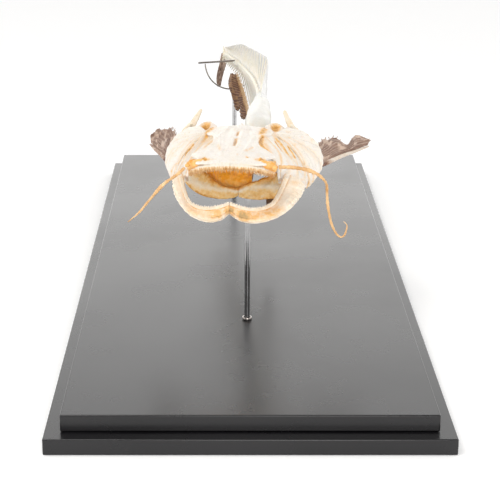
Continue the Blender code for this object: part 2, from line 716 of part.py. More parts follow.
def trunk_spines():
    """The arches over the trunk's vertebrae, with their upper spines."""
    shape = bmesh.new()
    sections = []
    steps = 2 * TRUNK_BONES
    for i in range(steps + 1):
        t = TRUNK_START + 0.004 + (TAIL_START - 0.008 - TRUNK_START) * i / steps
        ahead, side, up = backbone_frame(t)
        foot = backbone(t) + up * (TRUNK_RADIUS + GAP)
        tall = 1.5 if i % 2 else 2.1
        sections.append((foot - side * 0.9, foot + side * 0.9, foot + side * 0.4 + up * tall,
                         foot - side * 0.4 + up * tall))
    rows = skin(shape, sections)
    for i in range(TRUNK_BONES):
        t = TRUNK_START + (TAIL_START - TRUNK_START) * (i + 0.25) / TRUNK_BONES
        face = face_toward(rows[2 * i], np.array((0.0, 0.0, 1.0)))
        base = np.mean([np.array(v.co) for v in face.verts], axis=0)
        tip = along(UPPER_TIPS, t)
        if t < SHIELD_END:
            tip = base + (tip - base) * SHORT_SPINE
        grow(shape, face, spine_path(base, tip), (0.75, 0.7))
    return finish("trunk_spines", shape, pale_bone())


def weberian_complex():
    """The fused first vertebrae, with a tall crest and broad wings at the sides."""
    name = "weberian_complex"
    shape = bmesh.new()
    end = TRUNK_START - 0.004
    path = np.array([backbone(0.012 + (end - 0.012) * i / 6) for i in range(7)])
    rod_along(shape, path, (3.2, 4.0, 3.6, 2.8), (3.0, 3.6, 3.4, 2.8), sides=10)
    body = finish(name, shape, bone())
    foot = np.array([backbone(0.02 + (end - 0.03) * i / 5) for i in range(6)])
    crest = np.array([along(UPPER_TIPS, 0.01 + (end - 0.05) * i / 5) for i in range(6)])
    shape = bmesh.new()
    plate_between(shape, foot, crest - np.array((0, 0, 3.4)), 1, 1.1)
    combine(body, finish("crest_of_" + name, shape, bone()), "UNION")
    for side in (1, -1):
        root = []
        rim = []
        for i in range(6):
            t = 0.03 + (end - 0.05) * i / 5
            ahead, across, up = backbone_frame(t)
            reach = 9.5 - 3.5 * i / 5
            root.append(backbone(t))
            rim.append(backbone(t) + across * side * reach - up * (3.0 + 0.4 * i) + ahead * 2.0)
        shape = bmesh.new()
        plate_between(shape, np.array(root), np.array(rim), 2, 1.1, bulge=1.0 * side)
        combine(body, finish("wing_" + side_name(side) + "_of_" + name, shape, bone()), "UNION")
    return body


def nuchal_shield():
    """The roof-shaped shield over the first free spines, where the back fin's bearers sit."""
    ridge = ((4.2, -86, 121), (6.6, -76, 122.4), (8.4, -64, 123.6), (9.2, -50, 124.6))
    rise = 5.6
    left = []
    right = []
    for i, place in enumerate(sampled(ridge, 9)):
        half = 3.4 + 2.6 * math.sin(math.pi * (0.1 + 0.85 * i / 8))
        ahead, side, up = backbone_frame(TRUNK_START)
        left.append(place - up * rise + side * half)
        right.append(place - up * rise - side * half)
    shape = bmesh.new()
    plate_between(shape, np.array(left), np.array(right), 4, 1.0, bulge=rise)
    return finish("nuchal_shield", shape, bone())


def hypural_fan():
    """The fan of bones at the end of the backbone."""
    top = ((-10.2, 164.6, 107.6), (-11, 168.5, 110.5), (-11.6, 171.5, 112.6))
    bottom = ((-10.2, 164.6, 104.6), (-11.4, 168.5, 101.4), (-12.4, 171.5, 98.8))
    shape = bmesh.new()
    plate_between(shape, sampled(top, 5), sampled(bottom, 5), 4, 1.1)
    return finish("hypural_fan", shape, stained_bone())


def caudal_fin():
    """What is left of the tail fin hangs from the fan as a folded strip."""
    front = ((-12.6, 172.2, 105.4), (-13.6, 174, 99), (-14.8, 177, 92), (-15.6, 180, 85), (-15.8, 182, 79.6))
    rear = ((-10.8, 173.4, 106.6), (-9.2, 176.5, 99), (-10.6, 180, 91.6), (-12.4, 182.6, 85.6),
            (-13.6, 183, 80))
    shape = bmesh.new()
    plate_between(shape, sampled(front, 10), sampled(rear, 10), 2, 0.7)
    return finish("caudal_fin", shape, fin_skin())


def anal_fin_base():
    """The row of bearers along the anal fin's root."""
    upper = ((5.2, 70, 85.6), (3.4, 92, 88.6), (0.4, 112, 93.6), (-4.4, 141, 98.9))
    lower = ((4.9, 73, 82.4), (2.8, 94, 85.4), (-0.3, 114, 90.6), (-4.9, 143, 97))
    shape = bmesh.new()
    plate_between(shape, sampled(upper, 15), sampled(lower, 15), 1, 1.3)
    return finish("anal_fin_base", shape, stained_bone())


def anal_fin():
    """The dried anal fin, its rays laid far back and its edge torn."""
    root = ((4.8, 73.6, 81.9), (2.7, 94.6, 84.9), (-0.4, 114.6, 90.1), (-5, 143.6, 96.4))
    edge = ((4.9, 86, 79), (3.6, 96, 76.8), (-0.6, 101, 76.8), (-3, 109, 79.4), (-5, 114, 83.4),
            (-6.2, 120, 89.6), (-7.4, 127, 92.2), (-6.8, 135, 94.4), (-5.8, 148, 97.4))
    shape = bmesh.new()
    plate_between(shape, sampled(root, 18), sampled(edge, 18), 2, 0.7)
    return finish("anal_fin", shape, fin_skin())


def build():
    clear_scene()
    stand()
    tail_yoke()
    tail_bar()
    skull = neurocranium()
    throat_wall()
    for side in (1, -1):
        premaxilla(side)
        mount = maxilla(side)
        rod = palatine(side)
        cheek = suspensorium(side)
        cover = opercle(side)
        corner = posttemporal(side)
        dentary(side)
        girdle = pectoral_girdle(side)
        spine = pectoral_spine(side)
        fan = pectoral_fin(side)
        pelvic_girdle(side)
        pelvic_fin(side)
        clear_of(cover, cheek)
        clear_of(corner, skull)
        clear_of(spine, girdle)
        clear_of(fan, girdle)
        clear_of(rod, cheek)
        clear_of(mount, skull)
    barbel_left()
    barbel_right()
    weberian_complex()
    nuchal_shield()
    trunk_spines()
    rib_side(1)
    rib_side(-1)
    tail_length("tail_vertebrae_front", TAIL_START, TAIL_MIDDLE - 0.002, FRONT_TAIL_BONES, (2.4, 2.0))
    tail_length("tail_vertebrae_rear", TAIL_MIDDLE, 1.0, REAR_TAIL_BONES, (2.0, 1.4))
    hypural_fan()
    caudal_fin()
    anal_fin_base()
    anal_fin()


build()
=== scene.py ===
"""The finished look of a catfish skeleton on its stand.

Places are in millimetres in the solids' own frame: the board's underside is Z = 0, the head faces -Y, and the
fish's own left is +X. Each piece stands for the solids of the same bone.
"""
import math
from itertools import product

import bmesh
import bpy
import numpy as np
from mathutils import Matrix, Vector
from mathutils.kdtree import KDTree


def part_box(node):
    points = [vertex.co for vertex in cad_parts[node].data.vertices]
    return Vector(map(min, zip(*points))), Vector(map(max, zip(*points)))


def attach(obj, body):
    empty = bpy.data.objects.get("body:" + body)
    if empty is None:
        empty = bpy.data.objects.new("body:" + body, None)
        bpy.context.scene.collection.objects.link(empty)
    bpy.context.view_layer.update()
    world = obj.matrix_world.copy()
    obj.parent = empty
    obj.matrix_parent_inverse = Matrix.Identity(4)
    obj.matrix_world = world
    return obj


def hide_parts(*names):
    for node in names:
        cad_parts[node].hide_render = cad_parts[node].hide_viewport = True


MM = 0.001
UP = np.array((0.0, 0.0, 1.0))
# The fish's own sides, by the sign of their X
SIDES = ((1, "left"), (-1, "right"))

# Stand
UPPER_TIER_TOP = 16.6
CLEARANCE = 0.3
BOARD_EDGE_RADIUS = 0.6
METAL_SIDES = 48
ROD_RADIUS = 1.5
FRONT_ROD = (0.6, -109.0)
FRONT_ROD_TOP = 104.9
REAR_ROD = (-4.2, 126.4)
YOKE_CENTRE = (-5.6, 126.3, 109.5)
YOKE_RADIUS = 19.3
YOKE_WIRE = 0.45
BAR_RADIUS = 0.6
BAR_HALF_LENGTH = 24.2
BAR_YAW = math.radians(17.0)

# Head: (u, v, z) has u to the fish's left, v to the rear and z up
HEAD_X = -3.9
HEAD_Y = -109.0
HEAD_YAW = math.radians(4.7)
# How wide the head and the jaw's flange are on each side, against their drawn half
SPREAD = {1: 1.05, -1: 0.93}
JAW_SHIFT = -0.4
JAW_WIDTH = 0.86
FLANGE_WIDTH = {1: 0.97, -1: 0.82}

# Body, as places along BACKBONE
TRUNK_START = 0.115
TAIL_START = 0.50
TAIL_MIDDLE = 0.745
TRUNK_BONES = 16
RIB_PAIRS = 10
FIN_BEARERS = 22
RIB_NARROWING = 0.42
FRONT_TAIL_BONES = 10
REAR_TAIL_BONES = 12
TAIL_GAP = 0.002
# Radii of the vertebrae at the tail's start, middle and end
TAIL_RADII = (2.3, 2.0, 1.4)
# How much of its share of the backbone a vertebra fills
BONE_FILL = 0.95
SHIELD_END = 0.22
# Where the back's skin and the waxy strip begin and end
SKIN_SPAN = (0.20, 0.97)
STRIP_SPAN = (0.26, 0.985)
SPINE_BOW = 1.5
BACKBONE = ((1.2, -95, 110.5), (3.6, -80, 111.5), (6.9, -53, 111.5), (9.3, -20, 111), (10.4, 12, 110),
            (9.3, 45, 109.4), (7.2, 70, 108.8), (3.9, 95, 107.8), (0, 120, 106.8), (-5, 143, 106.3),
            (-10, 163, 106))
UPPER_TIPS = ((3, -84, 119), (5.4, -72, 121), (8.6, -44, 124), (11.8, -10, 128), (14.4, 18, 132.5),
              (8.8, 55, 130), (4.4, 82, 127.3), (0.2, 106, 124.8), (-4.5, 129, 119.8), (-8.7, 150, 114.5),
              (-11, 168, 111))
LOWER_TIPS = ((1.2, -84, 98), (3.6, -72, 96), (7, -44, 92), (9.3, -8, 90), (10, 26, 89),
              (7, 61, 87), (4.9, 84, 88.5), (2, 108, 93.5), (-2.2, 131, 98.2), (-7, 151, 99.6),
              (-11, 168, 100.5))

# The X of the belly fins' middle plane
BELLY_MIDDLE = 9.6

# Camera and light
CAMERA_PLACE = (-0.0134, -0.8082, 0.2981)
CAMERA_DOWN = math.radians(19.107)
CAMERA_LENS = 100.8
CAMERA_SHIFT = 0.058
SENSOR_WIDTH = 36.0
FLOOR_REACH = 6.0
FLOOR_GAP = 0.0002
FLOOR_GLOW = 0.16
# The sky's strength behind the board, at its two sides and their far ends, and its loss towards the front
SKY_BEHIND = 1.75
SKY_ASIDE = (0.54, 1.2)
SKY_FRONT = -0.30
# Each lamp's place, size, power and colour
LAMPS = {
    "key": ((-0.45, -0.55, 1.1), 0.45, 5.0, (1.0, 0.985, 0.96)),
    "front": ((0.1, -1.05, 0.35), 0.5, 4.2, (1.0, 0.99, 0.97)),
}
LAMP_TARGET = Vector((0, 0, 0.10))

# How much the pits of a roughened surface are painted towards the stain colour: a painted shade in the
# hollows
PIT_SHADE = 0.16


# ---------------------------------------------------------------- numbers and curves

def spline(a, b, c, d, f):
    """A smooth way from b at f = 0 to c at f = 1, with a and d as their neighbours."""
    square = 2 * a - 5 * b + 4 * c - d
    cube = 3 * b - a - 3 * c + d
    return 0.5 * (2 * b + (c - a) * f + square * f ** 2 + cube * f ** 3)


def curve(points, places):
    """The smooth curve through the points at places from 0 to 1."""
    knots = np.array(points, dtype=float)
    knots = np.vstack([2 * knots[0] - knots[1], knots, 2 * knots[-1] - knots[-2]])
    span = np.clip(np.atleast_1d(places), 0.0, 1.0) * (len(points) - 1)
    i = np.minimum(span.astype(int), len(points) - 2)
    return spline(*(knots[i + k] for k in range(4)), (span - i)[:, None])


def along(points, count, start=0.0, end=1.0):
    """Evenly spread points of that curve."""
    return curve(points, np.linspace(start, end, count))


def loop_curve(knots, spans):
    """A smooth closed curve through the knots of each row, at spans counted in knots."""
    size = knots.shape[-2]
    i = spans.astype(int)
    return spline(*(knots[..., (i + k) % size, :] for k in (-1, 0, 1, 2)), (spans - i)[:, None])


def values(numbers, places):
    """The smooth course of evenly spread numbers, at places from 0 to 1."""
    return curve([(n, 0) for n in numbers], places)[:, 0]


def unit(vectors):
    return vectors / np.maximum(np.linalg.norm(vectors, axis=-1, keepdims=True), 1e-9)


def hill(distance, width):
    return np.exp(-(distance / width) ** 2)


def step(value, low, high):
    """From 0 at low to 1 at high, smoothly."""
    share = np.clip((value - low) / (high - low), 0.0, 1.0)
    return share * share * (3 - 2 * share)


def lumps(points, cell, seed):
    """Smooth random values from -1 to 1, with lumps about one cell wide."""
    place = points / cell
    base = np.floor(place).astype(np.int64)
    f = place - base
    f = f * f * (3 - 2 * f)
    total = np.zeros(len(points))
    for corner in product((0, 1), repeat=3):
        n = base + np.array(corner)
        mixed = (n[:, 0] * 73856093) ^ (n[:, 1] * 19349663) ^ (n[:, 2] * 83492791) ^ (seed * 2654435761)
        mixed = ((mixed ^ (mixed >> 13)) * 1274126177) & 0xffffffff
        value = ((mixed ^ (mixed >> 16)) & 0xffff) / 32767.5 - 1
        weight = np.prod(np.where(np.array(corner) == 1, f, 1 - f), axis=1)
        total += value * weight
    return total


def head(points):
    """Places in the head, in the board's frame."""
    points = np.asarray(points, dtype=float)
    u, v, z = points[..., 0], points[..., 1], points[..., 2]
    x = HEAD_X + math.cos(HEAD_YAW) * u + math.sin(HEAD_YAW) * v
    y = HEAD_Y - math.sin(HEAD_YAW) * u + math.cos(HEAD_YAW) * v
    return np.stack([x, y, z], axis=-1)


def head_side(points, side, spread=1.0, shift=0.0):
    """The same places on one side of the head."""
    return head([(side * u * spread + shift, v, z) for u, v, z in points])


def circle(sides):
    return np.arange(sides) * 2 * math.pi / sides


def plate_lumps(s, t, third, seed):
    """Smooth random values over a plate, with cells one wide in s and t."""
    place = np.stack([s, t, np.full_like(s, third)], axis=-1).reshape(-1, 3)
    return lumps(place, 1.0, seed).reshape(s.shape)


# ---------------------------------------------------------------- shapes

class Shape:
    """Points in millimetres, their faces, and how stained each point is from 0 to 1."""

    def __init__(self):
        self.points = []
        self.quads = []
        self.triangles = []
        self.grease = []
        self.total = 0

    def add(self, points, quads, triangles=(), grease=0.0):
        self.points.append(np.asarray(points, dtype=float))
        if len(quads):
            self.quads.append(np.asarray(quads) + self.total)
        if len(triangles):
            self.triangles.append(np.asarray(triangles) + self.total)
        self.grease.append(np.broadcast_to(np.asarray(grease, dtype=float), len(points)).copy())
        self.total += len(points)

    def mesh(self, name):
        made = bpy.data.meshes.new(name)
        faces = [face for group in self.quads + self.triangles for face in group.tolist()]
        made.from_pydata((np.vstack(self.points) * MM).tolist(), [], faces)
        turned_out = bmesh.new()
        turned_out.from_mesh(made)
        bmesh.ops.recalc_face_normals(turned_out, faces=turned_out.faces)
        turned_out.to_mesh(made)
        turned_out.free()
        made.update()
        return made


def ring_faces(rings, size):
    """Quads between rings of equally many points."""
    i = np.arange(rings - 1)[:, None] * size
    j = np.arange(size)[None, :]
    k = (j + 1) % size
    return np.stack([i + j, i + k, i + size + k, i + size + j], axis=-1).reshape(-1, 4)


def add_rings(shape, rings, start=None, end=None, grease=0.0):
    """A closed skin over rings, each end drawn to a point."""
    count, size = rings.shape[:2]
    start = rings[0].mean(axis=0) if start is None else start
    end = rings[-1].mean(axis=0) if end is None else end
    points = np.vstack([rings.reshape(-1, 3), start, end])
    first = count * size
    j = np.arange(size)
    k = (j + 1) % size
    near = np.stack([k, j, np.full(size, first)], axis=-1)
    last = (count - 1) * size
    far = np.stack([last + j, last + k, np.full(size, first + 1)], axis=-1)
    stain = np.broadcast_to(np.asarray(grease, dtype=float), (count, size)).reshape(-1)
    stain = np.concatenate([stain, [stain[0], stain[-1]]])
    shape.add(points, ring_faces(count, size), np.vstack([near, far]), stain)


def carried_frames(path):
    """Side and up directions that turn as little as they can along a path."""
    ahead = unit(np.gradient(path, axis=0))
    reference = UP if abs(ahead[0][2]) < 0.9 else np.array((0.0, 1.0, 0.0))
    side = unit(np.cross(ahead[0], reference))
    sides = []
    for direction in ahead:
        side = unit(side - direction * np.dot(side, direction))
        sides.append(side)
    return ahead, np.array(sides), np.cross(sides, ahead)


def ovals(wide, high, across, up, sides):
    """Rings round a path, as offsets from it."""
    angle = circle(sides)
    return (wide[:, None] * np.cos(angle))[..., None] * across[:, None] \
        + (high[:, None] * np.sin(angle))[..., None] * up[:, None]


def tube(shape, path, wide, high=None, sides=12, grease=0.0, rough=0.0, seed=1):
    """A round-ended tube. wide and high are radii at evenly spread places."""
    share = np.linspace(0.0, 1.0, len(path))
    a = values(wide, share)
    b = values(high or wide, share)
    ahead, side, up = carried_frames(path)
    out = ovals(a, b, side, up, sides)
    caps = []
    for end, sign in ((0, -1), (-1, 1)):
        radius = min(a[end], b[end])
        caps.append([path[end] + sign * ahead[end] * radius * math.sin(q) + out[end] * math.cos(q)
                     for q in (0.5, 1.0, 1.35)])
    rings = np.concatenate([np.array(caps[0][::-1]), path[:, None] + out, np.array(caps[1])])
    start = path[0] - ahead[0] * min(a[0], b[0])
    end = path[-1] + ahead[-1] * min(a[-1], b[-1])
    if rough:
        centre = rings.mean(axis=1, keepdims=True)
        swell = 1 + rough * lumps(rings.reshape(-1, 3), 2.4, seed).reshape(rings.shape[:2])[..., None]
        rings = centre + (rings - centre) * swell
    if callable(grease):
        places = np.concatenate([[0, 0, 0], share, [1, 1, 1]])
        grease = np.repeat(grease(places)[:, None], sides, axis=1)
    add_rings(shape, rings, start, end, grease)


def facing(grid):
    return unit(np.cross(np.gradient(grid, axis=0), np.gradient(grid, axis=1)))


def add_sheet(shape, outer, inner, stain):
    """A closed sheet between two grids of points, with a rim between their borders."""
    rows, columns = stain.shape
    number = np.arange(rows * columns).reshape(rows, columns)
    front = np.stack([number[:-1, :-1], number[:-1, 1:], number[1:, 1:], number[1:, :-1]], axis=-1)
    front = front.reshape(-1, 4)
    back = front[:, ::-1] + rows * columns
    border = np.concatenate([number[0], number[1:, -1], number[-1, -2::-1], number[-2:0:-1, 0]])
    onward = np.roll(border, -1)
    rim = np.stack([onward, border, border + rows * columns, onward + rows * columns], axis=-1)
    shape.add(np.vstack([outer.reshape(-1, 3), inner.reshape(-1, 3)]), np.vstack([front, back, rim]), (),
              np.tile(stain.ravel(), 2))


def shell(shape, grid, half, grease):
    """A closed sheet of even thickness over a grid of points."""
    away = facing(grid) * half
    add_sheet(shape, grid + away, grid - away, np.broadcast_to(grease, grid.shape[:2]))


def line_distance(s, t, start, end, scale):
    """The distance in millimetres from a line on a plate."""
    a = np.array(start) * scale
    b = np.array(end) * scale
    place = np.stack([s * scale[0], t * scale[1]], axis=-1) - a
    share = np.clip((place @ (b - a)) / np.dot(b - a, b - a), 0.0, 1.0)
    return np.linalg.norm(place - share[..., None] * (b - a), axis=-1)


def bowed(first, second, s, t, bulge, edge=None):
    """The middle surface of a plate."""
    a = curve(first, s[:, 0])[:, None]
    b = curve(second, s[:, 0])[:, None]
    reach = t if edge is None else t * (1 + edge(s[:, 0]))[:, None]
    grid = a + (b - a) * reach[..., None]
    return grid + facing(grid) * (4 * bulge * t * (1 - t))[..., None]


def plate(shape, first, second, size, thickness, bulge=0.0, relief=None, lines=(), grease=0.0, follow=0.3,
          rim=1.2, edge=None, out=1):
    """A curved plate between two edges.

    size is its rows and columns. relief(s, t) raises the outer face, and the inner face follows it in part.
    Each line is (start, end, height, width, stain) in shares of the plate. edge(s) lengthens or shortens it.
    out is -1 where the outer face is on the other side of the grid.
    """
    rows, columns = size
    s, t = np.meshgrid(np.linspace(0, 1, rows), np.linspace(0, 1, columns), indexing="ij")
    grid = bowed(first, second, s, t, bulge * out, edge)
    normal = facing(grid)
    scale = np.array((np.linalg.norm(np.diff(grid[:, columns // 2], axis=0), axis=1).sum(),
                      np.linalg.norm(np.diff(grid[rows // 2], axis=0), axis=1).sum()))
    away = np.minimum(np.minimum(s, 1 - s) * scale[0], np.minimum(t, 1 - t) * scale[1])
    round_rim = np.sqrt(1 - (1 - np.clip(away / rim, 0.0, 1.0)) ** 2)
    stain = np.broadcast_to(grease(s, t) if callable(grease) else grease, s.shape)
    raised = relief(s, t) if relief else np.zeros_like(s)
    for start, end, height, width, dirt in lines:
        distance = line_distance(s, t, start, end, scale)
        raised = raised + height * hill(distance, width)
        stain = np.maximum(stain, dirt * hill(distance, width * 0.8))
    half = thickness / 2 * (0.15 + 0.85 * round_rim)
    raised = out * raised * round_rim
    add_sheet(shape, grid + normal * (half + raised)[..., None],
              grid - normal * (half - raised * follow)[..., None], stain)


def teeth(shape, roots, tips, radius, grease):
    """Many slim pointed teeth, stained from grease[0] at the root to grease[1] at the tip."""
    roots, tips = np.vstack(roots), np.vstack(tips)
    count = len(roots)
    ahead = unit(tips - roots)
    side = unit(np.cross(ahead, np.array((0.31, 0.87, 0.19))))
    size = 6
    round_about = ovals(np.ones(count), np.ones(count), side, np.cross(side, ahead), size)
    sunk = (roots - ahead * 0.3)[:, None]
    middle = (roots + (tips - roots) * 0.5)[:, None] + radius * 0.75 * round_about
    points = np.concatenate([sunk + radius * round_about, middle, tips[:, None], sunk], axis=1)
    first = np.arange(count)[:, None] * (2 * size + 2)
    j = np.arange(size)[None, :]
    k = (j + 1) % size
    walls = np.stack([first + j, first + k, first + size + k, first + size + j], axis=-1).reshape(-1, 4)
    point = np.broadcast_to(first + 2 * size, (count, size))
    caps = np.stack([first + size + j, first + size + k, point], axis=-1).reshape(-1, 3)
    bottoms = np.stack([first + k, first + j, point + 1], axis=-1).reshape(-1, 3)
    stain = np.array([grease[0]] * size + [(grease[0] + grease[1]) / 2] * size + [grease[1], grease[0]])
    shape.add(points.reshape(-1, 3), walls, np.vstack([caps, bottoms]), np.tile(stain, count))


def placed(name, data):
    """A new object in the scene."""
    made = bpy.data.objects.new(name, data)
    bpy.context.scene.collection.objects.link(made)
    return made


def fuse(shape, voxel, smooth):
    """One skin round everything in the shape, keeping its stains."""
    source = shape.mesh("to_fuse")
    holder = placed("to_fuse", source)
    remesh = holder.modifiers.new("skin", "REMESH")
    remesh.mode = "VOXEL"
    remesh.voxel_size = voxel * MM
    soften = holder.modifiers.new("soften", "SMOOTH")
    soften.factor = 0.5
    soften.iterations = smooth
    bpy.context.view_layer.update()
    made = bpy.data.meshes.new_from_object(holder.evaluated_get(bpy.context.evaluated_depsgraph_get()))
    points = np.empty(len(made.vertices) * 3)
    made.vertices.foreach_get("co", points)
    points = points.reshape(-1, 3) / MM
    old = np.vstack(shape.points)
    tree = KDTree(len(old))
    for i, point in enumerate(old):
        tree.insert(point, i)
    tree.balance()
    nearest = np.array([tree.find(p)[1] for p in points])
    corners = [tuple(p.vertices) for p in made.polygons]
    fused = Shape()
    fused.add(points, [c for c in corners if len(c) == 4], [c for c in corners if len(c) == 3],
              np.concatenate(shape.grease)[nearest])
    bpy.data.objects.remove(holder)
    bpy.data.meshes.remove(source)
    bpy.data.meshes.remove(made)
    return fused


def declare(piece, *nodes):
    """Hang a shown piece on the root body, and hide the nodes that it stands for."""
    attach(piece, "root")
    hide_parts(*nodes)


def show(name, shape, look, *nodes, rough=0.0, cell=2.0, seed=1, bend=50.0):
    """Make the shown piece. rough lifts its surface in small random lumps."""
    mesh = shape.mesh(name)
    stain = np.concatenate(shape.grease)
    if rough:
        points = np.vstack(shape.points)
        normals = np.empty(len(points) * 3)
        mesh.vertices.foreach_get("normal", normals)
        lift = rough * (0.65 * lumps(points, cell, seed) + 0.35 * lumps(points, cell * 0.37, seed + 7))
        points = points + normals.reshape(-1, 3) * lift[:, None]
        mesh.vertices.foreach_set("co", (points * MM).ravel())
        # Painted shade: the pits of the lumps are pushed towards the stain colour
        stain = stain + PIT_SHADE * step(-lift / rough, 0.3, 0.8)
    grease = mesh.attributes.new("grease", "FLOAT", "POINT")
    grease.data.foreach_set("value", stain)
    finish_mesh(mesh, look, bend)
    declare(placed(name, mesh), *nodes)


def finish_mesh(mesh, look, bend):
    mesh.materials.append(LOOKS[look])
    mesh.shade_smooth()
    mesh.set_sharp_from_angle(angle=math.radians(bend))


# ---------------------------------------------------------------- materials

def wire(tree, kind, **settings):
    """Add a shader node, with values for its sockets or outputs to link to them.

    set_ begins a setting of the node's own, and i with a number names a socket by its place.
    """
    node = tree.nodes.new(kind)
    for name, value in settings.items():
        if name.startswith("set_"):
            setattr(node, name[4:], value)
            continue
        socket = node.inputs[int(name[1:])] if name[0] == "i" and name[1:].isdigit() else node.inputs[name]
        if isinstance(value, bpy.types.NodeSocket):
            tree.links.new(value, socket)
        else:
            socket.default_value = value
    return node


def new_look(name):
    """A new material with its nodes, its shader and the place on the object."""
    made = bpy.data.materials.new(name)
    made.use_nodes = True
    tree = made.node_tree
    return made, tree, tree.nodes["Principled BSDF"], wire(tree, "ShaderNodeTexCoord").outputs["Object"]


def set_surface(tree, shader, colour, rough, height, strength, distance):
    """Link a surface's colour, roughness and fine relief."""
    tree.links.new(colour, shader.inputs["Base Color"])
    tree.links.new(rough, shader.inputs["Roughness"])
    relief = wire(tree, "ShaderNodeBump", Strength=strength, Distance=distance, Height=height)
    tree.links.new(relief.outputs[0], shader.inputs["Normal"])


def noise(tree, place, scale, detail, rough=0.55, stretch=None):
    if stretch:
        place = wire(tree, "ShaderNodeVectorMath", set_operation="MULTIPLY", i0=place, i1=stretch).outputs[0]
    made = wire(tree, "ShaderNodeTexNoise", Vector=place, Scale=scale, Detail=detail, Roughness=rough)
    return made.outputs[0]


def ranged(tree, value, low, high, to_low=0.0, to_high=1.0):
    made = wire(tree, "ShaderNodeMapRange", Value=value)
    for name, number in (("From Min", low), ("From Max", high), ("To Min", to_low), ("To Max", to_high)):
        made.inputs[name].default_value = number
    return made.outputs[0]


def blended(tree, share, first, second):
    made = tree.nodes.new("ShaderNodeMix")
    made.data_type = "RGBA"
    for index, value in ((0, share), (6, first), (7, second)):
        if isinstance(value, bpy.types.NodeSocket):
            tree.links.new(value, made.inputs[index])
        else:
            made.inputs[index].default_value = (*value, 1.0) if isinstance(value, tuple) else value
    return made.outputs[2]


def math_node(tree, kind, first, second=0.0, clamp=False):
    made = wire(tree, "ShaderNodeMath", set_operation=kind, set_use_clamp=clamp, i0=first, i1=second)
    return made.outputs[0]


def times(tree, first, second, clamp=False):
    return math_node(tree, "MULTIPLY", first, second, clamp)


def plus(tree, first, second):
    return math_node(tree, "ADD", first, second)


def dried_look(name, pale, warm, stain, rough=(0.36, 0.56), bump=0.35, glow=0.0, clear=1.0, deep=None):
    """Bone or dried skin: pale with warm patches, and stained where the piece's grease value is high.

    With deep, the stain is reached at a grease value of a half, and deep at one. The grease value also
    carries painted shade in the pits of roughened pieces, and a painted highlight where the shoulder plates'
    fold is kept paler.
    """
    made, tree, shader, place = new_look(name)
    patches = noise(tree, place, 160.0, 6.0, 0.6)
    mottle = noise(tree, place, 520.0, 5.0, 0.6)
    fine = noise(tree, place, 1500.0, 3.0, 0.6)
    grease = wire(tree, "ShaderNodeAttribute", set_attribute_name="grease").outputs["Fac"]
    colour = blended(tree, ranged(tree, patches, 0.42, 0.72, 0.0, 0.75), pale, warm)
    soaked = times(tree, grease, ranged(tree, mottle, 0.3, 0.7, 0.45, 1.5), clamp=True)
    if deep is None:
        colour = blended(tree, soaked, colour, stain)
    else:
        colour = blended(tree, ranged(tree, soaked, 0.0, 0.5), colour, stain)
        colour = blended(tree, ranged(tree, soaked, 0.5, 1.0), colour, deep)
    pores = ranged(tree, fine, 0.30, 0.42, 0.55, 0.0)
    colour = blended(tree, pores, colour, tuple(0.6 * c for c in warm))
    height = plus(tree, fine, times(tree, mottle, 1.6))
    set_surface(tree, shader, colour, ranged(tree, mottle, 0.3, 0.7, *rough), height, bump, 0.00025)
    shader.inputs["Specular IOR Level"].default_value = 0.45
    if glow:
        shader.inputs["Subsurface Weight"].default_value = glow
        shader.inputs["Subsurface Radius"].default_value = (1.0, 0.7, 0.45)
        shader.inputs["Subsurface Scale"].default_value = 0.0015
    shader.inputs["Alpha"].default_value = clear
    return made


def lacquer_look():
    made, tree, shader, place = new_look("black_lacquer")
    haze = noise(tree, place, 14.0, 5.0, 0.6)
    peel = noise(tree, place, 1100.0, 2.0)
    dust = noise(tree, place, 2600.0, 2.0, 0.7)
    colour = blended(tree, ranged(tree, haze, 0.3, 0.7), (0.005, 0.0045, 0.0055), (0.010, 0.0095, 0.011))
    colour = blended(tree, ranged(tree, dust, 0.74, 0.80, 0.0, 0.5), colour, (0.16, 0.16, 0.16))
    set_surface(tree, shader, colour, ranged(tree, haze, 0.3, 0.7, 0.23, 0.31), peel, 0.12, 0.0001)
    return made


def steel_look(name, bright, dull):
    made, tree, shader, place = new_look(name)
    drawn = noise(tree, place, 900.0, 4.0, 0.6, (1.0, 1.0, 0.03))
    tarnish = noise(tree, place, 120.0, 5.0, 0.6)
    colour = blended(tree, ranged(tree, tarnish, 0.45, 0.75, 0.0, 0.7), bright, dull)
    set_surface(tree, shader, colour, ranged(tree, drawn, 0.3, 0.7, 0.07, 0.2), drawn, 0.08, 0.00005)
    shader.inputs["Metallic"].default_value = 1.0
    return made


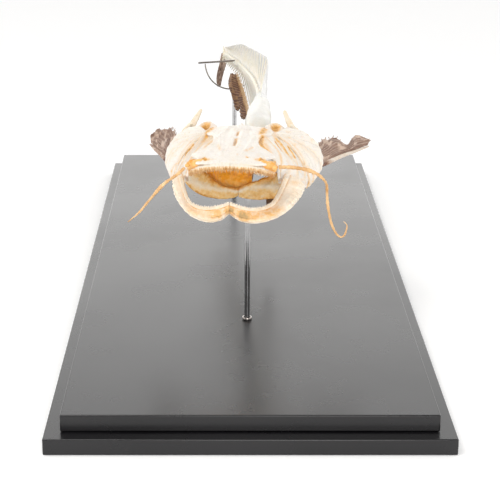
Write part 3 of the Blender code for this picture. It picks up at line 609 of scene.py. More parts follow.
LOOKS = {
    "bone": dried_look("pale_bone", (0.79, 0.745, 0.69), (0.79, 0.72, 0.63), (0.80, 0.46, 0.14), glow=0.10,
                       deep=(0.52, 0.24, 0.04)),
    "girdle": dried_look("girdle_bone", (0.82, 0.75, 0.64), (0.80, 0.65, 0.43), (0.82, 0.54, 0.22), glow=0.10,
                         deep=(0.64, 0.27, 0.03)),
    "jaw": dried_look("jaw_bone", (0.84, 0.765, 0.66), (0.82, 0.71, 0.55), (0.76, 0.44, 0.17), glow=0.12,
                      deep=(0.46, 0.30, 0.13)),
    "tooth": dried_look("teeth", (0.88, 0.72, 0.46), (0.82, 0.56, 0.26), (0.48, 0.20, 0.035), (0.25, 0.4)),
    "fine_tooth": dried_look("fine_teeth", (0.95, 0.90, 0.80), (0.93, 0.82, 0.66), (0.86, 0.58, 0.30),
                             (0.3, 0.45), glow=0.15),
    "thin": dried_look("thin_bone", (0.84, 0.81, 0.75), (0.82, 0.76, 0.62), (0.80, 0.60, 0.28), glow=0.12),
    "waxy": dried_look("waxy_bone", (0.76, 0.735, 0.66), (0.75, 0.71, 0.58), (0.74, 0.60, 0.34), (0.3, 0.45),
                       glow=0.2),
    "shield": dried_look("waxy_shield", (0.78, 0.775, 0.75), (0.77, 0.75, 0.68), (0.75, 0.66, 0.48),
                         (0.28, 0.42), glow=0.2, clear=0.92),
    "dome": dried_look("stained_wall", (0.86, 0.57, 0.22), (0.80, 0.45, 0.10), (0.86, 0.35, 0.015), glow=0.2,
                       deep=(0.55, 0.19, 0.012)),
    "stained": dried_look("stained_bone", (0.86, 0.58, 0.27), (0.82, 0.44, 0.12), (0.76, 0.33, 0.035)),
    "bearer": dried_look("fin_bearers", (0.62, 0.42, 0.22), (0.50, 0.29, 0.12), (0.30, 0.14, 0.045)),
    "feeler": dried_look("dried_barbel", (0.84, 0.56, 0.29), (0.72, 0.41, 0.16), (0.50, 0.23, 0.06),
                         (0.4, 0.6), bump=0.6),
    "ray": dried_look("fin_spine_bone", (0.80, 0.73, 0.64), (0.72, 0.55, 0.40), (0.34, 0.20, 0.13),
                      deep=(0.12, 0.035, 0.02)),
    "fin": dried_look("dried_fin", (0.30, 0.185, 0.135), (0.12, 0.055, 0.036), (0.72, 0.55, 0.44),
                      (0.5, 0.8), bump=0.8),
    "dark_fin": dried_look("dried_belly_fin", (0.125, 0.052, 0.032), (0.055, 0.020, 0.011),
                           (0.52, 0.31, 0.14), (0.45, 0.75), bump=0.8),
    "sheet": dried_look("dried_back_skin", (0.82, 0.82, 0.815), (0.80, 0.80, 0.775), (0.77, 0.72, 0.58),
                        (0.25, 0.4), clear=0.78),
    "lacquer": lacquer_look(),
    "steel": steel_look("polished_steel", (0.56, 0.56, 0.57), (0.20, 0.18, 0.16)),
    # A darker copy of the rods' steel, for the front rod: a painted shade
    "shaded_steel": steel_look("shaded_steel", (0.35, 0.35, 0.355), (0.11, 0.10, 0.09)),
    "wire": steel_look("dull_wire", (0.40, 0.37, 0.35), (0.24, 0.20, 0.18)),
}

# Grease marks on the head: their line as (u, v, z), their width and their strength
HEAD_MARKS = (
    (((13.4, 10.4, 121), (11.9, -9, 121), (12.8, -24.8, 121), (15.5, -30.5, 120)), 1.5, 0.95),
    (((14.0, 9, 117.5), (12.6, -9, 117.2), (13.6, -24.8, 117.2), (16, -31, 117)), 2.4, 1.0),
    (((-16.5, -4.5, 121), (-14.4, 6.2, 121)), 1.6, 0.8),
    (((-13.6, 4, 117.5), (-12.4, -9, 117.2), (-13.4, -24.8, 117.2)), 2.2, 0.8),
    (((-14.1, -0.8, 121), (-19, -14, 117), (-25.3, -27, 112)), 1.0, 0.7),
    (((16, -3, 119.5), (23, -13, 116), (31.9, -24.4, 110)), 1.0, 0.7),
    (((19.2, 14, 119), (22.5, 9, 118)), 2.4, 0.9),
    (((-17.5, 12, 119), (-21, 9, 118)), 1.8, 0.7),
    (((-11.4, -58.6, 121), (-14.2, -54.6, 120.5)), 1.3, 1.0),
    (((12.7, -56.6, 121), (15.4, -53.6, 120.5)), 1.3, 1.0),
    (((7.5, -55, 122), (7.5, -53.4, 122)), 0.7, 0.8),
    (((0.2, -24.5, 122.5), (0.2, -37.5, 122.5)), 0.6, 1.0),
    (((0.2, -10, 122.5), (0.2, -19, 122.5)), 0.45, 0.8),
    (((5.5, -48, 122.5), (9.0, -38, 122.4)), 0.6, 0.35),
    (((-5.5, -48, 122.5), (-8.0, -36, 122.4)), 0.6, 0.3),
    (((21, -56, 118), (24, -48, 112)), 2.4, 0.6),
    (((-20, -56, 118), (-22.5, -48, 112)), 2.4, 0.6),
    (((30, -40, 104), (34, -36, 101)), 2.2, 0.4),
    (((-23, -40, 104), (-25, -36, 101)), 2.2, 0.6),
)


def soak(shape):
    """Stain the shape's points near the head's grease marks."""
    points = np.vstack(shape.points)
    stain = np.concatenate(shape.grease)
    for line, width, strength in HEAD_MARKS:
        dots = head(along(line, 48))
        low, high = dots.min(axis=0) - 3 * width, dots.max(axis=0) + 3 * width
        close = np.where(np.all((points > low) & (points < high), axis=1))[0]
        if len(close):
            gap = np.linalg.norm(points[close][:, None] - dots[None], axis=2).min(axis=1)
            stain[close] = np.maximum(stain[close], strength * hill(gap, width))
    shape.points = [points]
    shape.grease = [stain]


# ---------------------------------------------------------------- stand

def board(node):
    """A board with softly rounded edges, in place of the chamfered solid."""
    (x0, y0, z0), (x1, y1, z1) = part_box(node)
    corners = [(x, y, z) for z in (z0, z1) for x, y in ((x0, y0), (x1, y0), (x1, y1), (x0, y1))]
    faces = [(3, 2, 1, 0), (4, 5, 6, 7), (0, 1, 5, 4), (1, 2, 6, 5), (2, 3, 7, 6), (3, 0, 4, 7)]
    mesh = bpy.data.meshes.new(node + "_board")
    mesh.from_pydata(corners, [], faces)
    made = placed(node + "_board", mesh)
    edge = made.modifiers.new("rounded_edge", "BEVEL")
    edge.width = BOARD_EDGE_RADIUS * MM
    edge.segments = 4
    edge.limit_method = "ANGLE"
    finish_mesh(mesh, "lacquer", 25)
    declare(made, node)


def round_rings(x, y, profile):
    """Rings round an upright axis from (radius, height) steps."""
    angle = circle(METAL_SIDES)
    return np.array([np.stack([x + r * np.cos(angle), y + r * np.sin(angle), np.full(METAL_SIDES, z)],
                              axis=-1) for r, z in profile])


def rod(node, place, top, look):
    """A rod, and the small closed ring at its foot."""
    foot = UPPER_TIER_TOP + CLEARANCE
    r = ROD_RADIUS
    steps = [(r - 0.2, foot), (r, foot + 0.2)]
    steps += [(r, z) for z in np.linspace(foot + 2, top - 2, 8)]
    steps += [(r, top - 0.5), (r - 0.12, top - 0.2), (r - 0.45, top)]
    shape = Shape()
    add_rings(shape, round_rings(*place, steps))
    show("steel_" + node, shape, look, node, bend=35.0)
    outline = ((1.82, 0), (2.5, 0), (2.6, 0.12), (2.6, 0.85), (2.45, 1.1), (2.2, 1.2), (1.9, 1.2),
               (1.82, 1.1))
    rings = round_rings(*place, [(radius, foot + height) for radius, height in outline]).transpose(1, 0, 2)
    shape = Shape()
    shape.add(rings.reshape(-1, 3), ring_faces(METAL_SIDES + 1, len(outline)) % (METAL_SIDES * len(outline)))
    show(f"steel_{node}_collar", shape, "wire", node + "_collar", bend=35.0)


def bar_point(distance, height=0.0):
    x, y, z = YOKE_CENTRE
    return np.array((x + distance * math.cos(BAR_YAW), y + distance * math.sin(BAR_YAW), z + height))


def stand():
    for node in ("base_lower_tier", "base_upper_tier"):
        board(node)
    # The front rod takes the darker copy of the steel, a painted shade; both rods are the same steel
    rod("rod_front", FRONT_ROD, FRONT_ROD_TOP, "shaded_steel")
    rod("rod_rear", REAR_ROD, YOKE_CENTRE[2] - YOKE_RADIUS - YOKE_WIRE - CLEARANCE, "steel")
    first = math.asin((BAR_RADIUS + YOKE_WIRE + CLEARANCE) / YOKE_RADIUS)
    arc = [bar_point(YOKE_RADIUS * math.cos(q), -YOKE_RADIUS * math.sin(q))
           for q in np.linspace(first, math.pi - first, 90)]
    bar = [bar_point(d) for d in np.linspace(0.5 - BAR_HALF_LENGTH, BAR_HALF_LENGTH - 0.5, 30)]
    for name, node, path, radius, sides in (("steel_half_ring", "tail_yoke", arc, YOKE_WIRE, 16),
                                            ("steel_cross_bar", "tail_bar", bar, BAR_RADIUS, 24)):
        shape = Shape()
        tube(shape, np.array(path), (radius, radius), sides=sides)
        show(name, shape, "wire", node)


# ---------------------------------------------------------------- skull

SKULL_STATIONS = ((-61.9, 11.5, 120.7, 0.7, 7, 119.5), (-60.5, 14.6, 121.5, 1.5, 9, 118.6),
                  (-58.8, 16.4, 122.0, 2.2, 13.5, 117.6), (-56.5, 17.3, 122.3, 2.8, 15.6, 116.9),
                  (-54, 16.8, 122.5, 2.6, 15.2, 116.6), (-51.5, 16.2, 122.7, 2.6, 13, 116.2),
                  (-48.5, 17.2, 122.8, 2.8, 8, 115.2), (-46, 18.5, 122.8, 3.0, 5, 114.6),
                  (-42.5, 19.6, 122.8, 3.4, 5, 113.7),
                  (-39, 17.4, 122.9, 2.6, 5, 113), (-35, 12.6, 123, 1.3, 5, 112.4),
                  (-26, 11, 123.1, 0.9, 6, 111), (-15, 12.2, 123.1, 1.1, 7.5, 109),
                  (-8, 15.4, 122.9, 1.8, 9, 107), (0, 17, 122.5, 2.0, 9, 105.4),
                  (6, 15.5, 121.7, 1.3, 7.5, 105.4), (9.5, 10, 121.1, 0.7, 5, 108),
                  (13, 5, 120.4, 0.5, 3, 113), (17, 2.4, 119.6, 0.3, 1.5, 117.2))


def windowed(v, front, rear, soft=3.0):
    return step(v, front - soft, front + soft) * (1 - step(v, rear - soft, rear + soft))


def roof_relief(u, v, half):
    """Height of the skull roof's grooves, ridges, seams and pits at (u, v), in millimetres."""
    out = np.abs(u)
    side = np.sign(u)
    share = out / half
    height = -1.5 * hill(out, 0.6) * windowed(v, -38, -24, 1.2)
    height -= 1.1 * hill(out, 0.5) * windowed(v, -20, -9.5, 1.0)
    height += 0.55 * hill(out - 2.3, 0.95) * windowed(v, -56, -3)
    height += (0.5 + 0.5 * step(v, -2, 12)) * hill(u, 1.1) * windowed(v, -5, 20)
    height += 0.75 * hill(out - (5.2 + 0.11 * (v + 50)), 1.1) * windowed(v, -54, -20)
    height += 0.6 * hill(out - (9.0 - 0.16 * (v + 22)), 1.2) * windowed(v, -24, 6)
    height -= 0.75 * hill(out - (8.9 + 0.02 * (v + 50)), 2.2) * windowed(v, -55, -40)
    height -= 0.55 * hill(out - 5.6, 1.7) * windowed(v, -34, -6)
    height += 0.55 * step(share, 0.80, 0.97) * windowed(v, -37, -10)
    height += 0.35 * step(share, 0.84, 0.98) * windowed(v, -56, -42)
    zigzag = 0.9 * np.sin(u * 1.7) + 0.5 * np.sin(u * 4.1 + 1.3)
    for seam, bend in ((-45.5, 0.10), (-21.5, -0.06), (-7.0, 0.14)):
        height -= 0.28 * hill(v - seam - zigzag - bend * out, 0.42) * step(out, 0.8, 2.2)
    for centre, nose in (((-11.4, -58.0), 0.9), ((12.7, -56.2), 1.0), ((-14.8, -53.6), 0.7),
                         ((15.3, -52.8), 0.7)):
        away = np.hypot(u - centre[0], v - centre[1])
        height -= nose * hill(away, 1.25)
        height += 0.4 * hill(away - 2.1, 0.55)
    for pit in ((7.5, -54.2), (-8.2, -49), (6.8, -33), (-7.3, -29), (8.4, -16), (-9.2, -12), (11.5, -2),
                (-12.2, 1), (4.5, 3), (-5.1, 1.5)):
        height -= 0.5 * hill(np.hypot(u - pit[0], v - pit[1]), 0.6)
    for middle_u, middle_v, count in ((7.0, -29.0, 38), (8.5, -3.0, 34), (9.0, -49.0, 30)):
        angle = np.arctan2(v - middle_v, out - middle_u)
        reach = np.hypot(v - middle_v, out - middle_u)
        height += 0.085 * np.sin(angle * count + 0.8 * side) * step(reach, 1.5, 4) * (1 - step(reach, 10, 14))
    return height


def skull():
    v, half, top, droop, core, bottom = along(SKULL_STATIONS, 300).T
    rim = np.minimum(1.6, (top - bottom) * 0.4)
    zero = np.zeros_like(v)
    right = ((zero, top), (half * 0.5, top - droop * 0.25), (half * 0.82, top - droop * 0.67),
             (half, top - droop), (half, top - droop - rim * 0.7),
             (core + 0.3 * (half - core), top - droop * 0.3 - rim), (core, (top + bottom) / 2),
             (core * 0.6, bottom))
    knots = [np.stack(pair, axis=-1) for pair in right]
    knots += [knot * np.array((-1, 1)) for knot in knots[:0:-1]]
    knots = np.stack(knots, axis=1)
    size = knots.shape[1]
    spans = np.concatenate([np.linspace(start, end, count, endpoint=False)
                            for start, end, count in ((0, 3.4, 62), (3.4, 11.6, 70), (11.6, 15, 62))])
    u, z = np.moveaxis(loop_curve(knots, spans), -1, 0).copy()
    v = np.repeat(v[:, None], len(spans), axis=1)
    from_top = np.minimum(spans, size - spans)[None, :]
    upper = 1 - step(from_top, 2.6, 3.3)
    ends = step(v, -61.9, -60.2) * (1 - step(v, 15.4, 17))
    z += roof_relief(u, v, half[:, None]) * upper * ends
    under = step(from_top, 5.5, 7.2) * ends
    keel = hill(u, 0.9) * 0.55 + 0.3 * hill(np.abs(u) - 2.6, 0.7) * np.sin(v * 0.9) ** 2
    z -= keel * under * windowed(v, -56, 4)
    flank = step(from_top, 3.6, 4.6) * (1 - under) * ends
    u += np.sign(u) * flank * 0.35 * np.sin(v * 0.55 + 0.6 * np.sin(z * 0.8))
    shape = Shape()
    stain = 0.5 * flank * hill(np.sin(v * 0.21), 0.35) + 0.35 * under
    add_rings(shape, head(np.stack([u, v, z], axis=-1)), grease=stain)
    soak(shape)
    show("skull", shape, "bone", "neurocranium", rough=0.25, cell=1.9, seed=3, bend=70)


# The upper tooth rows: place across the band, tooth length and depth under the band's face
UPPER_TEETH_ROWS = ((-0.05, 1.9, 0.25), (0.0, 2.3, 0.6), (0.16, 2.3, 0.85), (0.38, 1.9, 0.85),
                    (0.65, 1.5, 0.85))
UPPER_TEETH_IN_ROW = 30


def inward_of(outer, inner):
    """Level directions from an outer line to an inner one."""
    return unit((inner - outer) * np.array((1, 1, 0)))


def premaxilla(side, hand):
    """Half of the upper tooth band, with its rows of pointed teeth below."""
    front = ((0.08, -64.8, 120), (7, -64.6, 119.6), (13, -62.4, 118.4), (17.5, -58.6, 116.3),
             (20.8, -53.5, 114))
    back = ((0.08, -60.6, 119.4), (6.5, -60.2, 119), (12, -58.4, 117.8), (15.8, -55.4, 116),
            (18.4, -51.6, 114.2))
    share = np.linspace(0, 1, 110)
    f = curve(head_side(front, side), share)
    b = curve(head_side(back, side), share)
    drop = -1.3 * UP
    rise = UP * (1.3 + 1.3 * share)[:, None]
    knots = np.stack([f, (f + b) / 2 + 0.6 * rise, b + rise, b + drop, (f + b) / 2 + drop, f + drop], axis=1)
    places = np.arange(54) / 9.0
    rings = loop_curve(knots, places)
    ribbing = 0.10 * np.sin(share * 95)[:, None] + 0.08 * np.sin(share * 41 + 1)[:, None]
    middle = rings.mean(axis=1, keepdims=True)
    rings = rings + unit(rings - middle) * ribbing[..., None]
    shape = Shape()
    add_rings(shape, rings, grease=0.5 * np.clip(hill(places - 4.2, 1.0) + hill(places - 5.1, 0.45), 0, 1))
    soak(shape)
    node = "premaxilla_" + hand
    show(node + "_band", shape, "jaw", node, rough=0.22, cell=1.1, seed=11 + side)
    random = np.random.default_rng(21 + side)
    roots, tips = [], []
    count = UPPER_TEETH_IN_ROW
    for row, length, lift in UPPER_TEETH_ROWS:
        places = np.linspace(0.015, 0.985, count) + random.uniform(-0.011, 0.011, count)
        near = curve(head_side(front, side), places)
        far = curve(head_side(back, side), places)
        inward = inward_of(near, far)
        root = near + (far - near) * (row + random.uniform(-0.04, 0.04, count))[:, None] + drop * lift
        long = length * random.uniform(0.7, 1.15, count)[:, None]
        lean = random.uniform(-0.35, 0.15, count)[:, None]
        roots.append(root)
        tips.append(root + long * unit(lean * inward - UP))
    toothed = Shape()
    teeth(toothed, roots, tips, 0.34, (0.4, 1.0))
    show("teeth_upper_" + hand, toothed, "tooth", node)


def maxilla(side, hand):
    points = ((17.6, -53.4, 118.8), (19.4, -56.4, 118.4), (21, -58.4, 118))
    size = 1.0 if side > 0 else 0.72
    shape = Shape()
    tube(shape, along(head_side(points, side), 26), [size * r for r in (1.1, 1.9, 1.2, 1.7)],
         [size * r for r in (0.8, 1.4, 1.0, 1.3)], sides=26, rough=0.10, seed=5,
         grease=lambda s: 0.35 + 0.5 * np.sin(s * 9) ** 2)
    for lift, turn in ((0.9, 0.3), (-0.2, 0.9), (0.4, -0.8)):
        fold = [(p[0] + 0.4 * turn, p[1] + 0.6, p[2] + lift) for p in points]
        tube(shape, along(head_side(fold, side), 18, 0.1, 0.9), (0.4, 0.75, 0.4), grease=0.8, rough=0.15,
             seed=8)
    root = ((14.6, -57.2, 119.6), (17.4, -56.6, 118.4), (19.2, -54.6, 116.6), (20.4, -52.4, 114.8))
    tube(shape, along(head_side(root, side), 30), (1.3, 1.8, 1.5, 1.1), (1.6, 1.9, 1.7, 1.2), sides=24,
         rough=0.12, seed=12, grease=lambda s: 0.3 + 0.3 * np.abs(np.sin(s * 11)))
    node = "maxilla_" + hand
    show(node + "_bone", fuse(shape, 0.3, 2), "stained", node, rough=0.16, cell=0.9, seed=31)


def barbel(node, points, widths, seed):
    """A dried, shrunken feeler with ring wrinkles and a slight twist."""
    share = np.linspace(0, 1, 260)
    path = curve(points, share)
    wide = values(widths, share)
    wide = wide * (1 + 0.10 * np.sin(share * 210 + 2 * np.sin(share * 17)) + 0.08 * np.sin(share * 61 + seed))
    _, across, up = carried_frames(path)
    cos, sin = np.cos(share * 9)[:, None], np.sin(share * 9)[:, None]
    angle = circle(16)
    x = np.cos(angle) * wide[:, None]
    y = np.sin(angle) * wide[:, None] * 0.78
    rings = path[:, None] + (x * cos - y * sin)[..., None] * across[:, None] \
        + (x * sin + y * cos)[..., None] * up[:, None]
    stain = 0.35 + 0.35 * np.sin(share * 37 + seed) * np.sin(share * 11)
    shape = Shape()
    add_rings(shape, rings, grease=stain[:, None])
    show(node + "_feeler", shape, "feeler", node, rough=0.05, cell=0.8, seed=seed)


def barbels():
    left = ((14, -169, 118.2), (19.5, -168.6, 118), (25.5, -168, 117), (30.5, -167.5, 115.3),
            (34.2, -167, 112.8), (36.9, -166.5, 109.2), (37.4, -166, 103.5), (38, -165.5, 97.6),
            (39.7, -165, 89.6), (41.9, -165, 84.5), (44.3, -165, 82), (46.2, -165, 82.7), (47.2, -165, 85.4),
            (47.4, -165, 88), (45.9, -165, 89.8))
    right = ((-30.8, -166, 117), (-33, -166, 114.8), (-36.3, -166, 112.2), (-39.8, -166, 109.8),
             (-43.1, -166, 106.5), (-46, -166, 103), (-48.9, -165.5, 99.4), (-52.9, -165, 94.4),
             (-58.4, -164, 89.3))
    barbel("barbel_left", left, (1.25, 0.95, 0.8, 0.72, 0.66, 0.6, 0.4, 0.2), 41)
    barbel("barbel_right", right, (0.9, 0.75, 0.95, 0.8, 0.6, 0.22), 43)


def palatine(side, hand):
    points = ((13.5, -51, 116.6), (16.5, -45, 115.6), (19.5, -39, 114.8))
    shape = Shape()
    tube(shape, along(head_side(points, side), 60), (1.2, 0.9, 1.35, 0.9, 1.2), sides=26, rough=0.12, seed=9,
         grease=lambda s: 0.2 + 0.4 * np.abs(2 * s - 1) ** 3)
    soak(shape)
    show(f"palatine_{hand}_rod", shape, "bone", "palatine_" + hand, rough=0.12, cell=1.3, seed=6)


def fanned(s, t, root, count, height, stretch, near=0.05):
    """Fine ridges spreading from one place of a plate, whose s is stretched against t."""
    x, y = (s - root[0]) * stretch, t - root[1]
    reach = np.hypot(x, y)
    return height * np.sin(np.arctan2(y, x) * count) * step(reach, near, near + 0.2) \
        * (1 - step(reach, 2.0, 2.4))


CHEEK_BULGE = 3.2


def cheek_edges(side):
    spread = SPREAD[side]
    top = ((13, -37, 118.4), (11.3, -31, 119.6), (10.3, -24, 120.6), (11.2, -14, 120.7), (14.6, -6, 119.9),
           (16.4, 0, 119))
    joint = ((side * 22.2 + JAW_SHIFT, -40, 107), (side * 23.4 + JAW_SHIFT, -35, 103))
    corner = ((32.6, -28, 99.6), (33.6, -21, 98.4), (34.6, -14, 100.2))
    return head_side(top, side, spread), head(joint + tuple((side * spread * u, v, z) for u, v, z in corner))


def cheek(side, hand):
    """The cheek: hyomandibula, quadrate and preopercle, with the ridge that the jaw muscle held to."""
    lines = (((0.06, 0.95), (0.98, 0.84), 1.0, 1.1, 0.2), ((0.90, 0.02), (0.44, 0.88), 1.5, 0.8, 0.2),
             ((0.66, 0.03), (0.16, 0.92), 1.1, 0.7, 0.3), ((0.34, 0.05), (0.12, 0.80), 0.9, 0.7, 0.15),
             ((0.99, 0.26), (0.56, 0.96), 1.0, 0.8, 0.2), ((0.78, 0.12), (0.32, 0.86), -1.3, 1.2, 0.1),
             ((0.74, 0.16), (0.62, 0.36), -0.3, 0.7, 0.9), ((0.90, 0.34), (0.80, 0.56), -0.3, 0.7, 0.8),
             ((0.48, 0.08), (0.22, 0.6), -1.1, 1.3, 0.1), ((0.96, 0.12), (0.64, 0.78), -1.1, 1.1, 0.1),
             ((0.54, 0.30), (0.36, 0.62), 0.5, 0.5, 0.1), ((0.84, 0.30), (0.70, 0.55), 0.45, 0.5, 0.2),
             ((0.02, 0.55), (0.12, 0.98), 0.7, 1.0, 0.4))

    def relief(s, t):
        seam = hill((t - 0.58 - 0.03 * np.sin(s * 40)) * 26, 0.5) * step(s, 0.25, 0.35) * -0.22
        return fanned(s, t, (0.12, 0.98), 46, 0.12, 1.6) + seam

    shape = Shape()
    plate(shape, *cheek_edges(side), (150, 92), 1.15, CHEEK_BULGE, relief, lines, follow=0.35, out=-side)
    soak(shape)
    show("cheek_" + hand, shape, "bone", "suspensorium_" + hand, rough=0.32, cell=2.2, seed=17 + side)


def opercle(side, hand):
    """The gill cover, ribbed from its hinge and thin at its rear edge."""
    spread = SPREAD[side]
    s, t = np.meshgrid(np.linspace(0, 1, 30), np.linspace(0, 1, 11), indexing="ij")
    cheek_face = bowed(*cheek_edges(side), s, t, -CHEEK_BULGE * side)
    lap = cheek_face[27, ::2] - side * facing(cheek_face)[27, ::2] * 0.9
    inner = np.vstack([lap, head_side(((33.6, -19.5, 96.4),), side, spread)])
    outer = ((23, 5.4, 121.9), (30, 7.2, 119.8), (36, 6, 116.2), (40.2, 2.4, 111), (41.4, -3, 104.5),
             (38.2, -9.5, 99.2), (34.8, -15, 95.8))
    lines = (((0.0, 0.25), (0.95, 0.12), 0.9, 0.9, 0.2), ((0.05, 0.3), (0.45, 0.98), 0.7, 0.9, 0.05),
             ((0.06, 0.22), (0.72, 0.98), 0.6, 1.0, 0.1), ((0.62, 0.1), (0.90, 0.95), 0.7, 1.0, 0.3),
             ((0.30, 0.3), (0.62, 0.7), -0.6, 1.4, 0.1), ((0.15, 0.06), (0.85, 0.03), 0.5, 0.6, 0.3))

    def relief(s, t):
        growth = 0.06 * np.sin(np.hypot(s * 1.9, t) * 34) * step(t, 0.3, 0.7)
        return fanned(s, t, (-0.02, 0.15), 52, 0.11, 1.9, 0.15) + growth

    shape = Shape()
    plate(shape, inner, head_side(outer, side, spread), (150, 66), 0.85, 1.0, relief, lines, follow=0.6,
          out=-side, grease=lambda s, t: 0.25 * hill(t - 0.02, 0.06) + 0.15 * step(s, 0.75, 1.0),
          edge=lambda s: -0.025 + 0.025 * np.sin(s * 23 + side) * np.sin(s * 57))
    soak(shape)
    show("gill_cover_" + hand, shape, "bone", "opercle_" + hand, rough=0.16, cell=2.4, seed=23 + side)


def posttemporal(side, hand):
    """The bone behind the skull's corner: a broad arch round an orange hollow."""
    rear = ((12.4, 9.0, 120.6), (15.5, 14.6, 120.6), (19.5, 15.8, 120.0), (23.2, 12.6, 118.6))
    front = ((13.0, 3.0, 119.2), (16.0, 1.5, 118.0), (19.5, 2.6, 117.4), (22.8, 6.6, 117.2))

    def reach(s, t):
        return np.hypot((s - 0.52) * 1.5, t - 0.46)

    shape = Shape()
    plate(shape, head_side(rear, side), head_side(front, side), (80, 70), 1.1, 0.7, follow=0.8, out=-side,
          relief=lambda s, t: 0.8 * hill(reach(s, t) - 0.42, 0.13) - 1.9 * hill(reach(s, t), 0.24),
          grease=lambda s, t: 1.1 * hill(reach(s, t), 0.27) + 0.05)
    show(f"posttemporal_{hand}_arch", shape, "bone", "posttemporal_" + hand, rough=0.18, cell=1.4, seed=14)


RIM = ((0.08, -62, 100.6), (6, -62.2, 98.8), (12, -61, 97.6), (18.5, -57.6, 97.2), (24, -52.4, 98.6),
       (27.6, -46, 102.6), (30, -40, 106.6), (31.4, -35, 108.4))
FLANGE = ((0.08, -61.6, 95.4), (5, -63.8, 93), (12, -63.8, 91.9), (20, -61, 92.6), (27, -56.4, 95),
          (33.2, -49.4, 99.4), (36, -42, 103), (35.6, -37, 104.6))
INNER = ((0.08, -58.4, 97), (6, -58.8, 95.2), (12, -57.8, 94.2), (17.6, -54.2, 94.2), (22.6, -49, 96),
         (27, -42.8, 99.8), (30, -38, 103.4), (31.4, -34.6, 105))
# The lower tooth rows, as millimetres in from the rim
LOWER_TEETH_ROWS = (-0.95, -0.5, 0.0, 0.5)
LOWER_TEETH_IN_ROW = 84


def jaw_lines(side, places):
    """The rim, the flange and the inner edge, with the level direction into the mouth."""
    top, low, back = (curve(head_side(line, side, width, JAW_SHIFT), places)
                      for line, width in ((RIM, JAW_WIDTH), (FLANGE, FLANGE_WIDTH[side]), (INNER, JAW_WIDTH)))
    return top, low, back, inward_of(low, back)


def dentary(side, hand):
    """Half of the lower jaw: the toothed rim, the deep outer flange and the limb back to the joint."""
    share = np.linspace(0, 1, 210)
    top, low, back, inward = jaw_lines(side, share)
    outer_edge = top - 1.2 * inward
    inner_edge = top + 1.9 * inward - 0.3 * UP
    swell = (outer_edge + low) / 2 - 1.1 * inward
    step_in = outer_edge - UP + 0.35 * inward
    knots = np.stack([outer_edge, top + 0.35 * inward + 0.1 * UP, inner_edge,
                      (inner_edge + back) / 2 - 0.4 * inward, back, low + 0.9 * inward, low, swell, step_in],
                     axis=1)
    places = np.arange(108) / 12.0
    rings = loop_curve(knots, places)
    row = share[:, None]
    flange = np.clip(hill(places - 6.6, 1.1), 0, 1)
    ripple = 0.20 * np.sin(row * 74 + 3 * np.sin(row * 9)) * flange \
        + 0.22 * np.sin(places * 9.0 + 2 * np.sin(row * 8)) * flange \
        + 0.10 * np.sin(row * 190) * hill(places - 8.1, 0.6)
    ragged = 0.5 * step(np.sin(row * 130 + 3 * np.sin(row * 17)), 0.0, 0.7) * step(row, 0.6, 0.72)
    moved = ragged * hill(places - 6.3, 0.7) - ripple
    rings = rings + inward[:, None] * moved[..., None]
    mottled = (1.05 if side > 0 else 0.65) * (0.75 + 0.35 * np.sin(row * 23 + 4 * np.sin(row * 7)))
    stain = np.maximum.reduce([
        0.55 * hill(places - 8.3, 0.42) * (0.8 + 0.3 * np.sin(row * 31)),
        np.broadcast_to(0.5 * hill(places - 2.2, 0.7), rings.shape[:2]),
        mottled * hill(places - 7.2, 0.95) * (1 - 0.9 * step(row, 0.42, 0.68)),
        0.7 * hill(row, 0.05) * hill(places - 7.4, 1.2)])
    shape = Shape()
    add_rings(shape, rings, grease=stain)
    soak(shape)
    node = "dentary_" + hand
    show("lower_jaw_" + hand, shape, "jaw", node, rough=0.16, cell=1.5, seed=27 + side)
    random = np.random.default_rng(51 + side)
    roots, tips = [], []
    count = LOWER_TEETH_IN_ROW
    for across in LOWER_TEETH_ROWS:
        top, low, back, inward = jaw_lines(side, np.linspace(0.012, 0.86, count)
                                           + random.uniform(-0.003, 0.003, count))
        root = top + inward * (across + random.uniform(-0.1, 0.1, count))[:, None]
        long = random.uniform(0.8, 1.5, count)[:, None]
        roots.append(root)
        tips.append(root + long * unit(UP + 0.25 * inward + random.uniform(-0.15, 0.15, (count, 3))))
    toothed = Shape()
    teeth(toothed, roots, tips, 0.23, (0.6, 0.0))
    show("teeth_lower_" + hand, toothed, "fine_tooth", node)


def throat():
    """The dried, wrinkled wall at the back of the mouth."""
    lower = ((-18.4, 5.6, 96.6), (-15, 3.8, 93.2), (-11.5, 2.4, 90.2), (-7.5, 1.0, 88.7), (-2, -0.6, 88.2),
             (3, -2.0, 90.4), (6.8, -3.0, 94.6))
    upper = ((-18.8, 3.4, 104.2), (-16, 0, 104.2), (-13, -3.2, 104.4), (-9, -6, 105), (-2, -7, 105.2),
             (3, -6.4, 104.2), (6.8, -4.4, 101.6))

    def relief(s, t):
        folds = 0.35 * np.sin(s * 26 + 3 * np.sin(t * 4)) * np.sin(math.pi * t)
        return folds + 0.2 * np.sin(s * 61 + t * 9)

    shape = Shape()
    plate(shape, head(lower), head(upper), (130, 70), 0.8, 1.2, relief, follow=0.8,
          grease=lambda s, t: 0.08 + 0.52 * step(t, 0.1, 0.7) + 0.3 * hill(s - 0.97, 0.08))
    show("throat", shape, "dome", "throat_wall", rough=0.30, cell=1.6, seed=61)


# ---------------------------------------------------------------- shoulder and paired fins

LIMB = ((34, 7.6, 102.5), (33.6, 11, 108.5), (30, 12.5, 114.5), (26.6, 13.5, 118.8), (24, 19, 122.6),
        (22.2, 24, 125.4))
KNOB = ((27.4, 12.2, 119.4), (26.2, 11.4, 121.0))
RIDGE = ((34.6, 6.2, 101), (34.8, 9.4, 108), (31.0, 11.0, 114.4))
SPIKE = ((34.2, 8, 103.4), (35.5, 16, 105), (33.8, 25, 106), (31, 33, 106.4))
